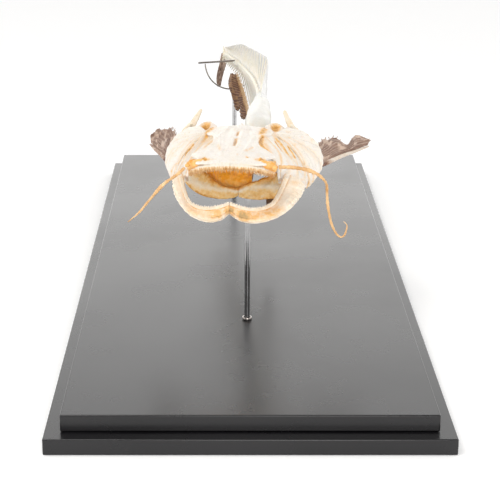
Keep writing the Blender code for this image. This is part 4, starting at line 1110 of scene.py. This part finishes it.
# Each limb's path, rings, radii across and along, sides, roughness, seed and stain
GIRDLE_LIMBS = (
    (LIMB, 120, (2.6, 2.9, 2.4, 2.5, 1.8, 1.4, 0.9), (1.6, 1.8, 1.6, 1.6, 1.3, 1.2, 0.9), 40, 0.08, 33,
     lambda s: 0.05 + 0.1 * hill(s - 0.62, 0.08)),
    (KNOB, 14, (1.4, 1.1), None, 24, 0.1, 2, 0.0),
    (RIDGE, 50, (0.7, 1.0, 0.6), None, 18, 0.1, 4, 0.0),
    (SPIKE, 80, (1.5, 1.65, 1.1, 0.45), (2.2, 1.8, 1.1, 0.45), 34, 0.14, 6, lambda s: 0.1 + 0.3 * s),
)


def girdle(side, hand):
    """Half of the shoulder girdle: the throat plate, the upright limb with its horn, and the rear spike."""
    spread = SPREAD[side]
    lower = ((0.1, -4.8, 88), (4.5, -5.2, 86.4), (12, -5, 85.8), (20, -3.2, 86.4), (28, -0.5, 90),
             (33.5, 4, 96), (36, 7, 101))
    rise = (94, 96.4, 98.8) if side > 0 else (91.8, 93.0, 97.2)
    upper = ((0.1, -4.6, 91.4), (4.5, -5, rise[0]), (9.5, -4.6, rise[1]), (16, -2, rise[2]), (23, 2, 102),
             (28.5, 6, 105), (32, 9, 108))
    lines = (((0.02, 0.12), (0.98, 0.10), 0.9, 0.8, 0.85), ((0.10, 0.9), (0.98, 0.92), 0.7, 0.8, 0.35),
             ((0.12, 0.2), (0.55, 0.85), 0.5, 0.7, 0.2), ((0.30, 0.12), (0.75, 0.85), 0.45, 0.8, 0.2),
             ((0.05, 0.25), (0.28, 0.9), 0.4, 0.6, 0.3))

    def swelling(s, t):
        return hill(t - 0.55 - 0.2 * np.sin(s * 7), 0.16)

    def stain(s, t):
        # Painted highlight: less stain along the fold's crest keeps it paler; the rest of the stain is the
        # bone's own
        marks = 0.56 - 0.44 * swelling(s, t) + 0.6 * hill(t - 0.05, 0.08) * (0.75 + 0.25 * np.sin(s * 40))
        return (marks + 0.6 * hill(t - 0.98, 0.16)) * (1 - 0.8 * step(s, 0.55, 0.8))

    shape = Shape()
    plate(shape, head_side(lower, side, spread), head_side(upper, side, spread), (170, 60), 1.5, 1.4,
          lambda s, t: fanned(s, t, (1.1, 0.5), 90, 0.10, 4.0) + 0.9 * swelling(s, t), lines, stain,
          follow=0.5, edge=lambda s: -0.03 + 0.03 * np.sin(s * 37 + 2 * np.sin(s * 90)), out=side)
    for points, count, wide, high, sides, rough, seed, grease in GIRDLE_LIMBS:
        width = spread if points is SPIKE else 1.0
        tube(shape, along(head_side(points, side, width), count), wide, high, sides, grease, rough, seed)
    show("girdle_" + hand, fuse(shape, 0.36, 3), "girdle", "pectoral_girdle_" + hand, rough=0.15, cell=1.4,
         seed=37 + side)


FIN_SPINES = {
    1: ((35.2, -104, 99.8), (42.5, -98, 100.8), (50, -88.5, 101.4), (58, -79.5, 101.6), (67, -67.5, 101.4)),
    -1: ((-39.2, -98.8, 99.6), (-42.2, -91.4, 100.6), (-45.6, -81, 101), (-49, -71.5, 101),
         (-52.2, -61, 100.8)),
}
FIN_SPINE_WIDTHS = (1.9, 1.7, 1.4, 0.55)
FIN_SPINE_HEIGHTS = (1.15, 0.95, 0.75, 0.4)


def fin_spine(side, hand):
    """The stiff first ray of the chest fin, grooved along its length and toothed along its rear edge."""
    points = FIN_SPINES[side]
    share = np.linspace(0, 1, 150)
    path = curve(points, share)
    sides = 40
    angle = circle(sides)
    ahead, across, up = carried_frames(path)
    out = ovals(values(FIN_SPINE_WIDTHS, share), values(FIN_SPINE_HEIGHTS, share), across, up, sides)
    groove = 1 - 0.075 * np.cos(angle * 9) * step(share, 0.05, 0.2)[:, None]
    groove = groove * (1 + 0.03 * np.sin(share * 130 + angle[1]))[:, None]
    stain = (0.06 if side > 0 else 0.5) + 0.95 * (1 - step(share, 0.10, 0.36)) + 0.15 * step(share, 0.85, 1.0)
    shape = Shape()
    add_rings(shape, path[:, None] + out * groove[..., None], path[0] - ahead[0] * 0.8,
              path[-1] + ahead[-1] * 0.4, stain[:, None])
    places = np.linspace(0.30, 0.94, 17)
    root = curve(points, places)
    forward = unit(curve(points, places + 0.01) - root)
    rear = unit(np.cross(forward, UP)) * -side * values(FIN_SPINE_WIDTHS, places)[:, None]
    teeth(shape, root + rear * 0.80, root + rear * 1.55 - forward * 0.7, 0.42, (0.2, 0.45))
    node = "pectoral_spine_" + hand
    show(node + "_ray", shape, "ray", node, rough=0.07, cell=0.9, seed=71)


def torn(s, deep, count, seed):
    """How far a torn edge falls short, along the edge."""
    coarse = plate_lumps(s * count, np.full_like(s, 0.5), seed * 1.7, seed)
    fine = plate_lumps(s * count * 4.3, np.full_like(s, 7.5), seed * 2.3, seed + 3)
    return -deep * (0.5 + 0.5 * coarse) - 0.6 * deep * (0.5 + 0.5 * fine)


def membrane(name, node, first, second, size, phase, look, seed, deep, tears, height, waves, grease,
             bulge=0.0):
    """Dried fin skin drawn over rays. phase(s, t) counts the rays across the fin."""
    def relief(s, t):
        wrinkles = waves * plate_lumps(s * 5.0, t * 3.0, seed * 3.1, seed)
        return height * np.cos(2 * math.pi * phase(s, t)) + wrinkles

    def stain(s, t):
        return np.maximum(0.4 * (0.5 + 0.5 * np.cos(2 * math.pi * phase(s, t))) ** 3, grease(s, t))

    shape = Shape()
    plate(shape, first, second, size, 0.62, bulge, relief, grease=stain, follow=1.0, rim=0.5,
          edge=lambda s: torn(s, deep, tears, seed))
    show(name, shape, look, node, rough=0.07, cell=0.8, seed=seed)


def blotches(s, t, seed, low=0.05, high=0.45):
    """Uneven pale patches over a piece of dried skin."""
    return step(plate_lumps(s * 13.0, t * 7.0, seed * 2.9, seed), low, high)


def ray_ends(node, roots, tips, radius, seed):
    """Bare ends of rays standing out of a torn edge."""
    shape = Shape()
    for i, (root, tip) in enumerate(zip(roots, tips)):
        sag = (root + tip) / 2 + 0.25 * (-1) ** i * UP
        tube(shape, along((root, sag, tip), 10), (radius, radius * 0.8, radius * 0.4), sides=8, grease=0.4,
             seed=seed + i)
    show(node + "_rays", shape, "fin", node)


CHEST_FIN_EDGES = {
    1: (((37, -102.2, 100.7), (43, -96.8, 101.7), (50.5, -87.3, 102.2), (58.5, -78.3, 102.3),
         (66.8, -66.8, 101.9)),
        ((36.5, -72, 102.6), (43, -56, 102.8), (50.5, -47.5, 102.2), (55.5, -67, 102.6), (62, -46, 102),
         (70, -54, 101.6))),
    -1: (((-39.8, -96.5, 100.6), (-42.4, -90.6, 101.6), (-45.6, -80.2, 102), (-49, -70.6, 101.9),
          (-52, -60.4, 101.5)),
         ((-36, -66, 104.2), (-38.4, -47, 104.4), (-41, -32.5, 103.6), (-45.5, -35, 103), (-49.5, -31.5, 102),
          (-53.2, -43.5, 101.6))),
}


def chest_fin(side, hand):
    leading, trailing = CHEST_FIN_EDGES[side]
    node = "pectoral_fin_" + hand
    membrane(node + "_skin", node, leading, trailing, (230, 120),
             lambda s, t: 11 * np.arctan2(0.6 * t + 0.02, s + 0.35), "fin", 81 + side, deep=0.12, tears=11,
             height=0.26, waves=1.0, grease=lambda s, t: 0.75 * blotches(s, t, 5), bulge=0.8)
    places = np.linspace(0.12, 0.97, 15)
    edge = curve(trailing, places)
    back = unit(edge - curve(leading, places * 0.9))
    random = np.random.default_rng(85 + side)
    roots = edge - back * random.uniform(3.5, 6.0, (15, 1))
    tips = edge + back * random.uniform(-1.2, 0.6, (15, 1)) + random.uniform(-0.4, 0.4, (15, 3))
    ray_ends(node, roots, tips, 0.33, 88)


def beside(side, *lines):
    """Lines set out from the middle of the belly to one side."""
    return [[(BELLY_MIDDLE + side * x, y, z) for x, y, z in line] for line in lines]


def pelvic(side, hand):
    """The small bone of one belly fin, and the dark fin that hangs from it."""
    front = ((0.8, -20, 71.2), (2.6, -14, 70.6), (5.8, -6, 69.8), (7.6, -1.5, 69))
    inner = ((0.5, -20, 71.2), (0.6, -13, 70.4), (0.6, -6, 69.2), (0.8, -0.5, 68.2))
    shape = Shape()
    plate(shape, *beside(side, inner, front), (90, 40), 0.85, grease=0.15,
          relief=lambda s, t: 0.12 * np.sin(t * 14 + s * 5),
          lines=(((0.0, 0.9), (1.0, 0.85), 0.5, 0.6, 0.3), ((0.0, 0.1), (1.0, 0.5), 0.35, 0.5, 0.2)),
          edge=lambda s: -0.04 + 0.04 * np.sin(s * 31))
    node = "pelvic_girdle_" + hand
    show(node + "_bone", shape, "thin", node, rough=0.12, cell=1.3, seed=91)
    drop = 22.5 if side > 0 else 14.0
    leading = ((3.2, 0.4, 67.4), (4.2, 2.4, 67.4 - 0.5 * drop), (4.6, 4.4, 67.4 - drop))
    trailing = ((7.2, 0.2, 67.8), (8.8, 2, 67.4 - 0.5 * drop), (9.4, 3.4, 68.4 - drop))
    node = "pelvic_fin_" + hand
    membrane(node + "_skin", node, *beside(side, leading, trailing), (130, 50), lambda s, t: 6.5 * t,
             "dark_fin", 95 + side, deep=0.14, tears=8, height=0.2, waves=0.35,
             grease=lambda s, t: 0.5 * blotches(s, t, 6), bulge=0.5)


# ---------------------------------------------------------------- backbone

def backbone(t):
    return curve(BACKBONE, t)[0] if np.isscalar(t) else curve(BACKBONE, t)


def backbone_frame(t):
    """The backbone's place at t, with its directions ahead, across and up."""
    ahead = unit(backbone(min(t + 0.01, 1.0)) - backbone(max(t - 0.01, 0.0)))
    side = unit(np.cross(ahead, UP))
    return backbone(t), ahead, side, np.cross(side, ahead)


def between(start, end, part, whole):
    return start + (end - start) * part / whole


def bone_length(start, end, count):
    """The length of each of count vertebrae between two places of the backbone."""
    return np.linalg.norm(backbone(end) - backbone(start)) / count * BONE_FILL


def spine(shape, start, tip, radius, grease):
    """An upper or lower spine: a thin blade, deeper along the fish than across it."""
    path = along((start, (start + tip) / 2 + np.array((0, SPINE_BOW, 0)), tip), 26)
    ahead = unit(np.gradient(path, axis=0))
    rearward = np.array((-0.1, 1.0, 0.0))
    rearward = unit(rearward - ahead * (ahead @ rearward)[:, None])
    wide = values([radius * part for part in (1.2, 0.8, 0.62, 0.42)], np.linspace(0, 1, 26))
    rings = path[:, None] + ovals(wide, 1.5 * wide, np.cross(ahead, rearward), rearward, 12)
    add_rings(shape, rings, path[0], path[-1] + ahead[-1] * wide[-1], grease)


# Rings of a vertebra: place along it, radius and stain
VERTEBRA_HALF = ((-0.50, 0.60, 0.3), (-0.497, 0.86, 0.25), (-0.47, 1.03, 0.1), (-0.40, 1.05, 0.05),
                 (-0.33, 0.90, 0.08), (-0.18, 0.72, 0.2), (0.0, 0.66, 0.25))
VERTEBRA_PROFILE = np.array(VERTEBRA_HALF + tuple((-p, r, g) for p, r, g in VERTEBRA_HALF[-2::-1]))


def vertebra(shape, t, length, radius, seed):
    """One hourglass body with raised rims, on the backbone."""
    centre, ahead, side, up = backbone_frame(t)
    place, size, stain = VERTEBRA_PROFILE.T[..., None]
    angle = circle(30)
    waist = 1 - np.minimum(1.0, np.abs(place) / 0.42)
    r = radius * size * (1 + 0.11 * waist * np.cos(angle * 7 + seed))
    rings = (centre + place * length * ahead)[:, None] + (r * np.cos(angle))[..., None] * side \
        + (r * 0.95 * np.sin(angle))[..., None] * up
    hollow = ahead * length * 0.32
    add_rings(shape, rings, centre - hollow, centre + hollow, stain)


def arch(shape, t, length, radius, tip, upward, size, seed):
    """Two struts that meet over or under a vertebra, the spine that they carry, and the small hooks."""
    centre, ahead, side, up = backbone_frame(t)
    way = up if upward else -up
    peak = centre + way * (radius + 1.5) + ahead * 0.10 * length
    for s in (1, -1):
        foot = centre + way * radius * 0.80 + side * s * radius * 0.55 - ahead * 0.12 * length
        bend = centre + way * (radius + 0.75) + side * s * radius * 0.52
        tube(shape, along((foot, bend, peak + side * s * 0.12), 12), (0.55, 0.38, 0.45), (0.9, 0.6, 0.6),
             grease=0.10, seed=seed)
        for reach, lift in ((-0.46, 0.55), (0.44, 0.45)):
            hook = centre + way * (radius + lift) + side * s * radius * 0.50 + ahead * reach * length
            tube(shape, along((bend - way * 0.25, (bend + hook) / 2 + way * 0.15, hook), 8),
                 (0.34, 0.26, 0.16), sides=8, grease=0.08, seed=seed)
    spine(shape, peak - way * 0.3, tip, size, 0.05)


def trunk():
    """The trunk's vertebrae with their arches and upper spines."""
    bones = Shape()
    arches = Shape()
    length = bone_length(TRUNK_START, TAIL_START, TRUNK_BONES)
    for i in range(TRUNK_BONES):
        t = between(TRUNK_START, TAIL_START, i + 0.5, TRUNK_BONES)
        radius = 2.45 - 0.2 * i / TRUNK_BONES
        vertebra(bones, t, length, radius, i)
        tip = curve(UPPER_TIPS, t)[0]
        if t < SHIELD_END:
            base = backbone(t) + 4.4 * UP
            tip = base + (tip - base) * 0.42
        arch(arches, t, length, radius, tip - 0.3 * UP, True, 0.62, i)
    show("trunk_vertebrae", bones, "thin", "ribs_left", "ribs_right", rough=0.08, cell=0.8, seed=101)
    show("trunk_arches", arches, "thin", "trunk_spines", rough=0.05, cell=0.8, seed=103)


def ribs(side, hand):
    """One side's ribs, each with the knuckle that holds it to its vertebra."""
    shape = Shape()
    for i in range(RIB_PAIRS):
        centre, ahead, across, up = backbone_frame(between(TRUNK_START, TAIL_START, i + 0.35, TRUNK_BONES))
        across = across * side
        share = 0.62 + 0.38 * math.sin(math.pi * min(1.0, (i + 1.5) / 6.0) / 2)
        width = 1 - RIB_NARROWING * i / (RIB_PAIRS - 1)
        points = [centre + across * 1.7 - up * 0.2]
        points += [centre + across * out * (0.55 + 0.45 * share) - up * down * share + ahead * back * share
                   for out, down, back in ((3.8, 2.6, 1.4), (10.0 * width, 16, 5.5),
                                           (5.4 * width, 38.5, 9.0))]
        tube(shape, along(points, 70, 0, 0.985), (1.05, 0.95, 0.62, 0.5, 0.42, 0.28),
             (0.8, 0.62, 0.48, 0.42, 0.36, 0.24), sides=16, rough=0.08, seed=i + 3 * side + 9,
             grease=lambda s: 0.05 + 0.4 * hill(s - 0.05, 0.08) + 0.35 * step(s, 0.9, 1))
        knuckle = along(points[:2] + [points[1] + across * 0.8], 14, 0, 0.6)
        tube(shape, knuckle + up * 0.35, (1.1, 1.25, 0.9), (1.0, 0.9, 0.6), sides=18, rough=0.1, seed=i)
    node = "ribs_" + hand
    show(node + "_row", shape, "thin", node, rough=0.06, cell=1.0, seed=107 + side)


def tail_length(node, start, end, count, radii):
    """One length of tail vertebrae with their upper and lower spines."""
    bones = Shape()
    arches = Shape()
    length = bone_length(start, end, count)
    for i in range(count):
        t = between(start, end, i + 0.5, count)
        r = between(*radii, i, count)
        vertebra(bones, t, length, r, i + 5)
        place = between(start, end, i + 0.25, count)
        for tips, upward in ((UPPER_TIPS, True), (LOWER_TIPS, False)):
            arch(arches, t, length, r, curve(tips, place)[0], upward, 0.58 if upward else 0.8, i + 40)
    show(node + "_bodies", bones, "thin", node, rough=0.07, cell=0.8, seed=111)
    show(node + "_spines", arches, "thin", node, rough=0.05, cell=0.8, seed=113)


# How far the back's skin hangs to the fish's left, from 0.05 to 0.5 along the backbone
SKIN_SAG = (8.2, 7.6, 6.0, 4.7, 3.4, 2.4, 1.3, 0.9, 1.2, 1.2)
# Where the cross bar meets the waxy strip
BAR_CROSSING = 0.826


def back_skin(node, name, start, end, seed):
    """The thin dried skin that is left over the upper spines. It sags to the fish's left side."""
    rows, columns = int(420 * (end - start)) + 30, 60
    t = np.linspace(start, end, rows)
    share = np.linspace(0, 1, columns)
    feet = backbone(t) + np.array((-0.4, 0, 3.0))
    tips = curve(UPPER_TIPS, t)
    middle = (feet + tips) / 2 + np.array((0, SPINE_BOW * 0.7, 0))
    top = 0.988 + 0.012 * plate_lumps(t * 60, t * 0, seed, seed)
    q = (share * top[:, None])[..., None]
    feet, tips, bent = feet[:, None], tips[:, None], (2 * middle - (feet + tips) / 2)[:, None]
    grid = feet * (1 - q) ** 2 + bent * 2 * q * (1 - q) + tips * q ** 2
    sag = np.interp(t, np.linspace(0.05, 0.5, len(SKIN_SAG)), SKIN_SAG)
    grid[..., 0] += (sag[:, None] + 0.35) * (1 - share ** 4) * step(share, 0.0, 0.4)
    wrinkles = lumps(grid.reshape(-1, 3), 4.0, seed).reshape(rows, columns)
    grid[..., 0] += 0.30 * wrinkles * np.sin(math.pi * share)
    folds = np.sin(t * 330 + 2 * np.sin(t * 40))[:, None] * (1 - share ** 2)
    grid[..., 0] += 0.08 * folds
    shape = Shape()
    shell(shape, grid, 0.14, 0.22 * (1 - share)[None, :] ** 2 + 0.22 * np.clip(folds, 0, 1))
    show(name, shape, "sheet", node)


def sheath(node, name, start, end, seed):
    """The waxy strip of dried muscle and skin that is left along the backbone's right side."""
    path = []
    for t in np.linspace(start, end, 120):
        centre, _, across, up = backbone_frame(t)
        path.append(centre - across * 0.5 + up * 1.6)
    places = np.linspace(start, end, 25)
    wide = np.interp(places, (TRUNK_START, 1.0), (2.3, 1.5)) * (1 + 0.85 * hill(places - BAR_CROSSING, 0.02))
    shape = Shape()
    tube(shape, np.array(path), tuple(wide), tuple(0.8 * wide), sides=36, rough=0.12, seed=seed,
         grease=lambda s: 0.10 + 0.12 * np.sin(s * 23 + seed) ** 2)
    show(name, shape, "waxy", node, rough=0.14, cell=2.6, seed=seed)


def weberian():
    """The fused first vertebrae, with their crest and the broad wings that held the swim bladder."""
    end = TRUNK_START - 0.004
    shape = Shape()
    tube(shape, backbone(np.linspace(0.012, end, 70)), (3.2, 4.0, 3.6, 2.8), (3.0, 3.6, 3.4, 2.8), sides=48,
         rough=0.10, seed=121, grease=0.12)
    crest = along(UPPER_TIPS, 6, 0.01, end - 0.04) - 3.4 * UP
    plate(shape, backbone(np.linspace(0.02, end - 0.01, 6)), crest, (90, 50), 1.0, grease=0.08,
          relief=lambda s, t: 0.15 * np.sin(s * 44))
    for side in (1, -1):
        root, rim = [], []
        for i in range(6):
            centre, ahead, across, up = backbone_frame(0.03 + (end - 0.05) * i / 5)
            root.append(centre)
            rim.append(centre + across * side * (9.5 - 0.7 * i) - up * (3.0 + 0.4 * i) + ahead * 2.0)
        plate(shape, root, rim, (90, 60), 1.0, bulge=side, grease=0.15,
              relief=lambda s, t: 0.22 * np.sin(s * 30 + t * 6) * t,
              edge=lambda s: -0.06 + 0.06 * np.sin(s * 25))
    show("weberian_bones", fuse(shape, 0.36, 2), "bone", "weberian_complex", rough=0.18, cell=1.5, seed=123)


def shield():
    """The roof-shaped shield over the first free spines, waxy with old fat.

    left, right and drop are how far it reaches to each side of its ridge and down.
    """
    ridge = ((4.6, -93.5, 118.4), (5.8, -85, 121.0), (6.8, -76, 122.2), (8.3, -64, 123.0), (9.2, -52, 123.0),
             (9.8, -42, 122.4), (9.8, -28, 120.4), (9.8, -12, 117.2), (9.9, 4, 114.8))
    left = (6.2, 6.9, 6.2, 5.1, 4.3, 3.6, 2.8, 2.2, 1.6)
    right = (3.8, 5.6, 7.0, 7.4, 6.8, 5.6, 4.4, 3.3, 2.2)
    drop = (4.0, 5.4, 6.2, 6.6, 6.6, 5.8, 4.6, 3.4, 2.4)
    rows, columns = 190, 130
    row = np.linspace(0, 1, rows)[:, None]
    across = np.linspace(-1, 1, columns)
    angle = across * math.pi / 2
    wide = np.where(across > 0, values(left, row[:, 0])[:, None], values(right, row[:, 0])[:, None])
    grid = np.repeat(along(ridge, rows)[:, None], columns, axis=1)
    grid[..., 0] += np.sign(across) * np.abs(np.sin(angle)) ** 0.8 * wide
    grid[..., 2] -= (1 - np.abs(np.cos(angle)) ** 0.8) * values(drop, row[:, 0])[:, None]
    keel = 0.45 * hill(across, 0.12) * step(row, 0.1, 0.4)
    rays = 0.10 * np.sin(across * 31 + 5 * row ** 2) * step(row, 0.25, 0.6)
    grid[..., 2] += keel + rays + 0.35 * lumps(grid.reshape(-1, 3), 5.0, 127).reshape(rows, columns)
    grid[..., 0] += 0.3 * lumps(grid.reshape(-1, 3), 6.0, 128).reshape(rows, columns)
    grid[..., 1] += (row - 0.4) * 1.6 * across ** 2 * np.sin(across * 5)
    shape = Shape()
    shell(shape, grid, 0.45, 0.08 + 0.2 * np.abs(across) ** 3 + 0.25 * (1 - step(row, 0.0, 0.12)))
    show("nuchal_shield_roof", shape, "shield", "nuchal_shield", "trunk_spines", rough=0.10, cell=2.4,
         seed=127)


def tail_end():
    """The fan of bones at the end of the backbone, and the strip of tail fin that hangs from it."""
    top = ((-10.2, 164.6, 107.6), (-11, 168.5, 109.8), (-11.6, 171.5, 110.9))
    bottom = ((-10.2, 164.6, 104.6), (-11.4, 168.5, 101.4), (-12.4, 171.5, 98.8))
    shape = Shape()
    plate(shape, top, bottom, (60, 90), 0.9, grease=lambda s, t: 0.3 + 0.3 * np.sin(t * 30) * s,
          relief=lambda s, t: 0.28 * np.cos(2 * math.pi * 6 * t),
          edge=lambda s: -0.02 + 0.02 * np.sin(s * 12))
    show("hypural_bones", shape, "waxy", "hypural_fan", rough=0.1, cell=0.9, seed=131)
    front = ((-12.6, 172.2, 105.4), (-14.2, 174, 99), (-15.8, 177, 92), (-16.6, 180, 85), (-16.0, 182, 79.6))
    rear = ((-10.8, 173.4, 106.6), (-9.2, 176.5, 99), (-10.6, 180, 91.6), (-12.4, 182.6, 85.6),
            (-13.6, 183, 80))

    def stain(s, t):
        return 0.9 * np.maximum(hill(t - 0.8, 0.2) * (1 - step(s, 0.35, 0.7)), 0.8 * blotches(s, t, 7, -0.2))

    membrane("tail_fin_strip", "caudal_fin", front, rear, (190, 44), lambda s, t: 3.6 * t + 0.5 * s, "fin",
             133, deep=0.08, tears=14, height=0.25, waves=1.1, grease=stain)


def anal_fin():
    """The bearers along the fin's root, and the dark, torn fin with its rays laid back."""
    upper = ((5.2, 70, 85.6), (3.8, 92, 88.6), (1.5, 112, 93.6), (-2.4, 141, 98.9))
    lower = ((4.9, 73, 82.4), (3.2, 94, 85.4), (0.8, 114, 90.6), (-3.0, 143, 97))
    shape = Shape()
    plate(shape, upper, lower, (220, 26), 0.8, grease=lambda s, t: 0.3 + 0.5 * t,
          relief=lambda s, t: 0.15 * np.cos(2 * math.pi * FIN_BEARERS * s))
    for i in range(FIN_BEARERS):
        high, low = (curve(line, (i + 0.5) / FIN_BEARERS)[0] for line in (upper, lower))
        tube(shape, along((high + np.array((0, 1.0, 0.2)), (high + low) / 2, low), 10), (0.3, 0.45, 0.55),
             grease=0.15, seed=i)
    show("anal_fin_bearers", shape, "bearer", "anal_fin_base", rough=0.06, cell=0.9, seed=137)
    root = ((4.8, 73.6, 81.9), (3.1, 94.6, 84.9), (0.7, 114.6, 90.1), (-3.1, 143.6, 96.4))
    edge = ((4.9, 86, 78.8), (2.6, 93, 76.9), (-0.6, 98.5, 77.2), (-1.6, 103.5, 84), (-3.4, 109, 78.8),
            (-5.4, 114, 82.6), (-7.4, 120, 88.2), (-9.0, 127, 91.2), (-9.0, 135, 93.4), (-7.4, 147, 96.6))

    def stain(s, t):
        return np.maximum(0.9 * (1 - step(t, 0.02, 0.15)), 0.4 * blotches(s * 2, t, 8, 0.2, 0.6))

    membrane("anal_fin_skin", "anal_fin", root, edge, (300, 70), lambda s, t: 24 * s - 1.6 * t, "dark_fin",
             139, deep=0.12, tears=21, height=0.28, waves=1.0, grease=stain)


# ---------------------------------------------------------------- light, camera and the whole

def ground():
    """The plain pale floor, just under the board."""
    floor = bpy.data.meshes.new("floor")
    reach = FLOOR_REACH
    floor.from_pydata([(-reach, -reach, 0), (reach, -reach, 0), (reach, reach, 0), (-reach, reach, 0)], [],
                      [(0, 1, 2, 3)])
    made, tree, shader, place = new_look("white_floor")
    grain = ranged(tree, noise(tree, place, 60.0, 3.0), 0.3, 0.7)
    colour = blended(tree, grain, (0.93, 0.93, 0.93), (0.90, 0.90, 0.905))
    tree.links.new(colour, shader.inputs["Base Color"])
    shader.inputs["Roughness"].default_value = 0.9
    shader.inputs["Emission Color"].default_value = (1, 1, 1, 1)
    shader.inputs["Emission Strength"].default_value = FLOOR_GLOW
    floor.materials.append(made)
    sheet = placed("floor", floor)
    sheet.location.z = -FLOOR_GAP


def sky():
    """The studio's light from all round: strong behind the board and at its sides, weak in front."""
    world = bpy.data.worlds.new("studio")
    bpy.context.scene.world = world
    world.use_nodes = True
    tree = world.node_tree
    way = wire(tree, "ShaderNodeTexCoord").outputs["Generated"]
    x, y, z = wire(tree, "ShaderNodeSeparateXYZ", Vector=way).outputs
    behind = times(tree, ranged(tree, y, 0.35, 0.9), ranged(tree, z, 0.3, 0.75, 1.0, 0.0))
    aside = ranged(tree, math_node(tree, "ABSOLUTE", x), 0.4, 0.9, *SKY_ASIDE)
    total = plus(tree, times(tree, behind, SKY_BEHIND), aside)
    total = plus(tree, total, ranged(tree, y, -0.95, -0.4, SKY_FRONT, 0.0))
    background = tree.nodes["Background"]
    background.inputs["Color"].default_value = (1.0, 0.995, 0.985, 1.0)
    tree.links.new(total, background.inputs["Strength"])


def lamps():
    for name, (place, size, power, colour) in LAMPS.items():
        lamp = bpy.data.lights.new(name, "AREA")
        lamp.size = size
        lamp.energy = power
        lamp.color = colour
        light = placed(name, lamp)
        light.location = place
        light.rotation_euler = (LAMP_TARGET - light.location).to_track_quat("-Z", "Y").to_euler()


def camera():
    made = bpy.data.cameras.new("camera")
    made.lens = CAMERA_LENS
    made.sensor_width = SENSOR_WIDTH
    made.shift_x = CAMERA_SHIFT
    made.clip_start = 0.01
    view = placed("camera", made)
    view.location = CAMERA_PLACE
    view.rotation_euler = (math.pi / 2 - CAMERA_DOWN, 0.0, 0.0)
    bpy.context.scene.camera = view
    bpy.context.scene.view_settings.view_transform = "Standard"


def build():
    stand()
    skull()
    throat()
    barbels()
    for side, hand in SIDES:
        for bone in (premaxilla, maxilla, palatine, cheek, opercle, posttemporal, dentary, girdle, fin_spine,
                     chest_fin, pelvic):
            bone(side, hand)
    weberian()
    shield()
    trunk()
    for side, hand in SIDES:
        ribs(side, hand)
    tail_length("tail_vertebrae_front", TAIL_START, TAIL_MIDDLE - TAIL_GAP, FRONT_TAIL_BONES, TAIL_RADII[:2])
    tail_length("tail_vertebrae_rear", TAIL_MIDDLE, 1.0, REAR_TAIL_BONES, TAIL_RADII[1:])
    back_skin("trunk_spines", "back_skin_trunk", SKIN_SPAN[0], TAIL_START, 141)
    back_skin("tail_vertebrae_front", "back_skin_tail", TAIL_START, SKIN_SPAN[1], 143)
    sheath("trunk_spines", "sheath_trunk", STRIP_SPAN[0], TAIL_START, 147)
    sheath("tail_vertebrae_front", "sheath_tail_front", TAIL_START, TAIL_MIDDLE, 148)
    sheath("tail_vertebrae_rear", "sheath_tail_rear", TAIL_MIDDLE, STRIP_SPAN[1], 149)
    tail_end()
    anal_fin()


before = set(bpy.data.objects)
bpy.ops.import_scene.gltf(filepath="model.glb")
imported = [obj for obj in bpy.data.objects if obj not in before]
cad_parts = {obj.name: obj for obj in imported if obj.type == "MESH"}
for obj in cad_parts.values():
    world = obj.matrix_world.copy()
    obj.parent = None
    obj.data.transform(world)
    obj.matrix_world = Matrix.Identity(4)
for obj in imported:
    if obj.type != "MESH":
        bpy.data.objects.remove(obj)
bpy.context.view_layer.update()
build()
ground()
sky()
lamps()
camera()
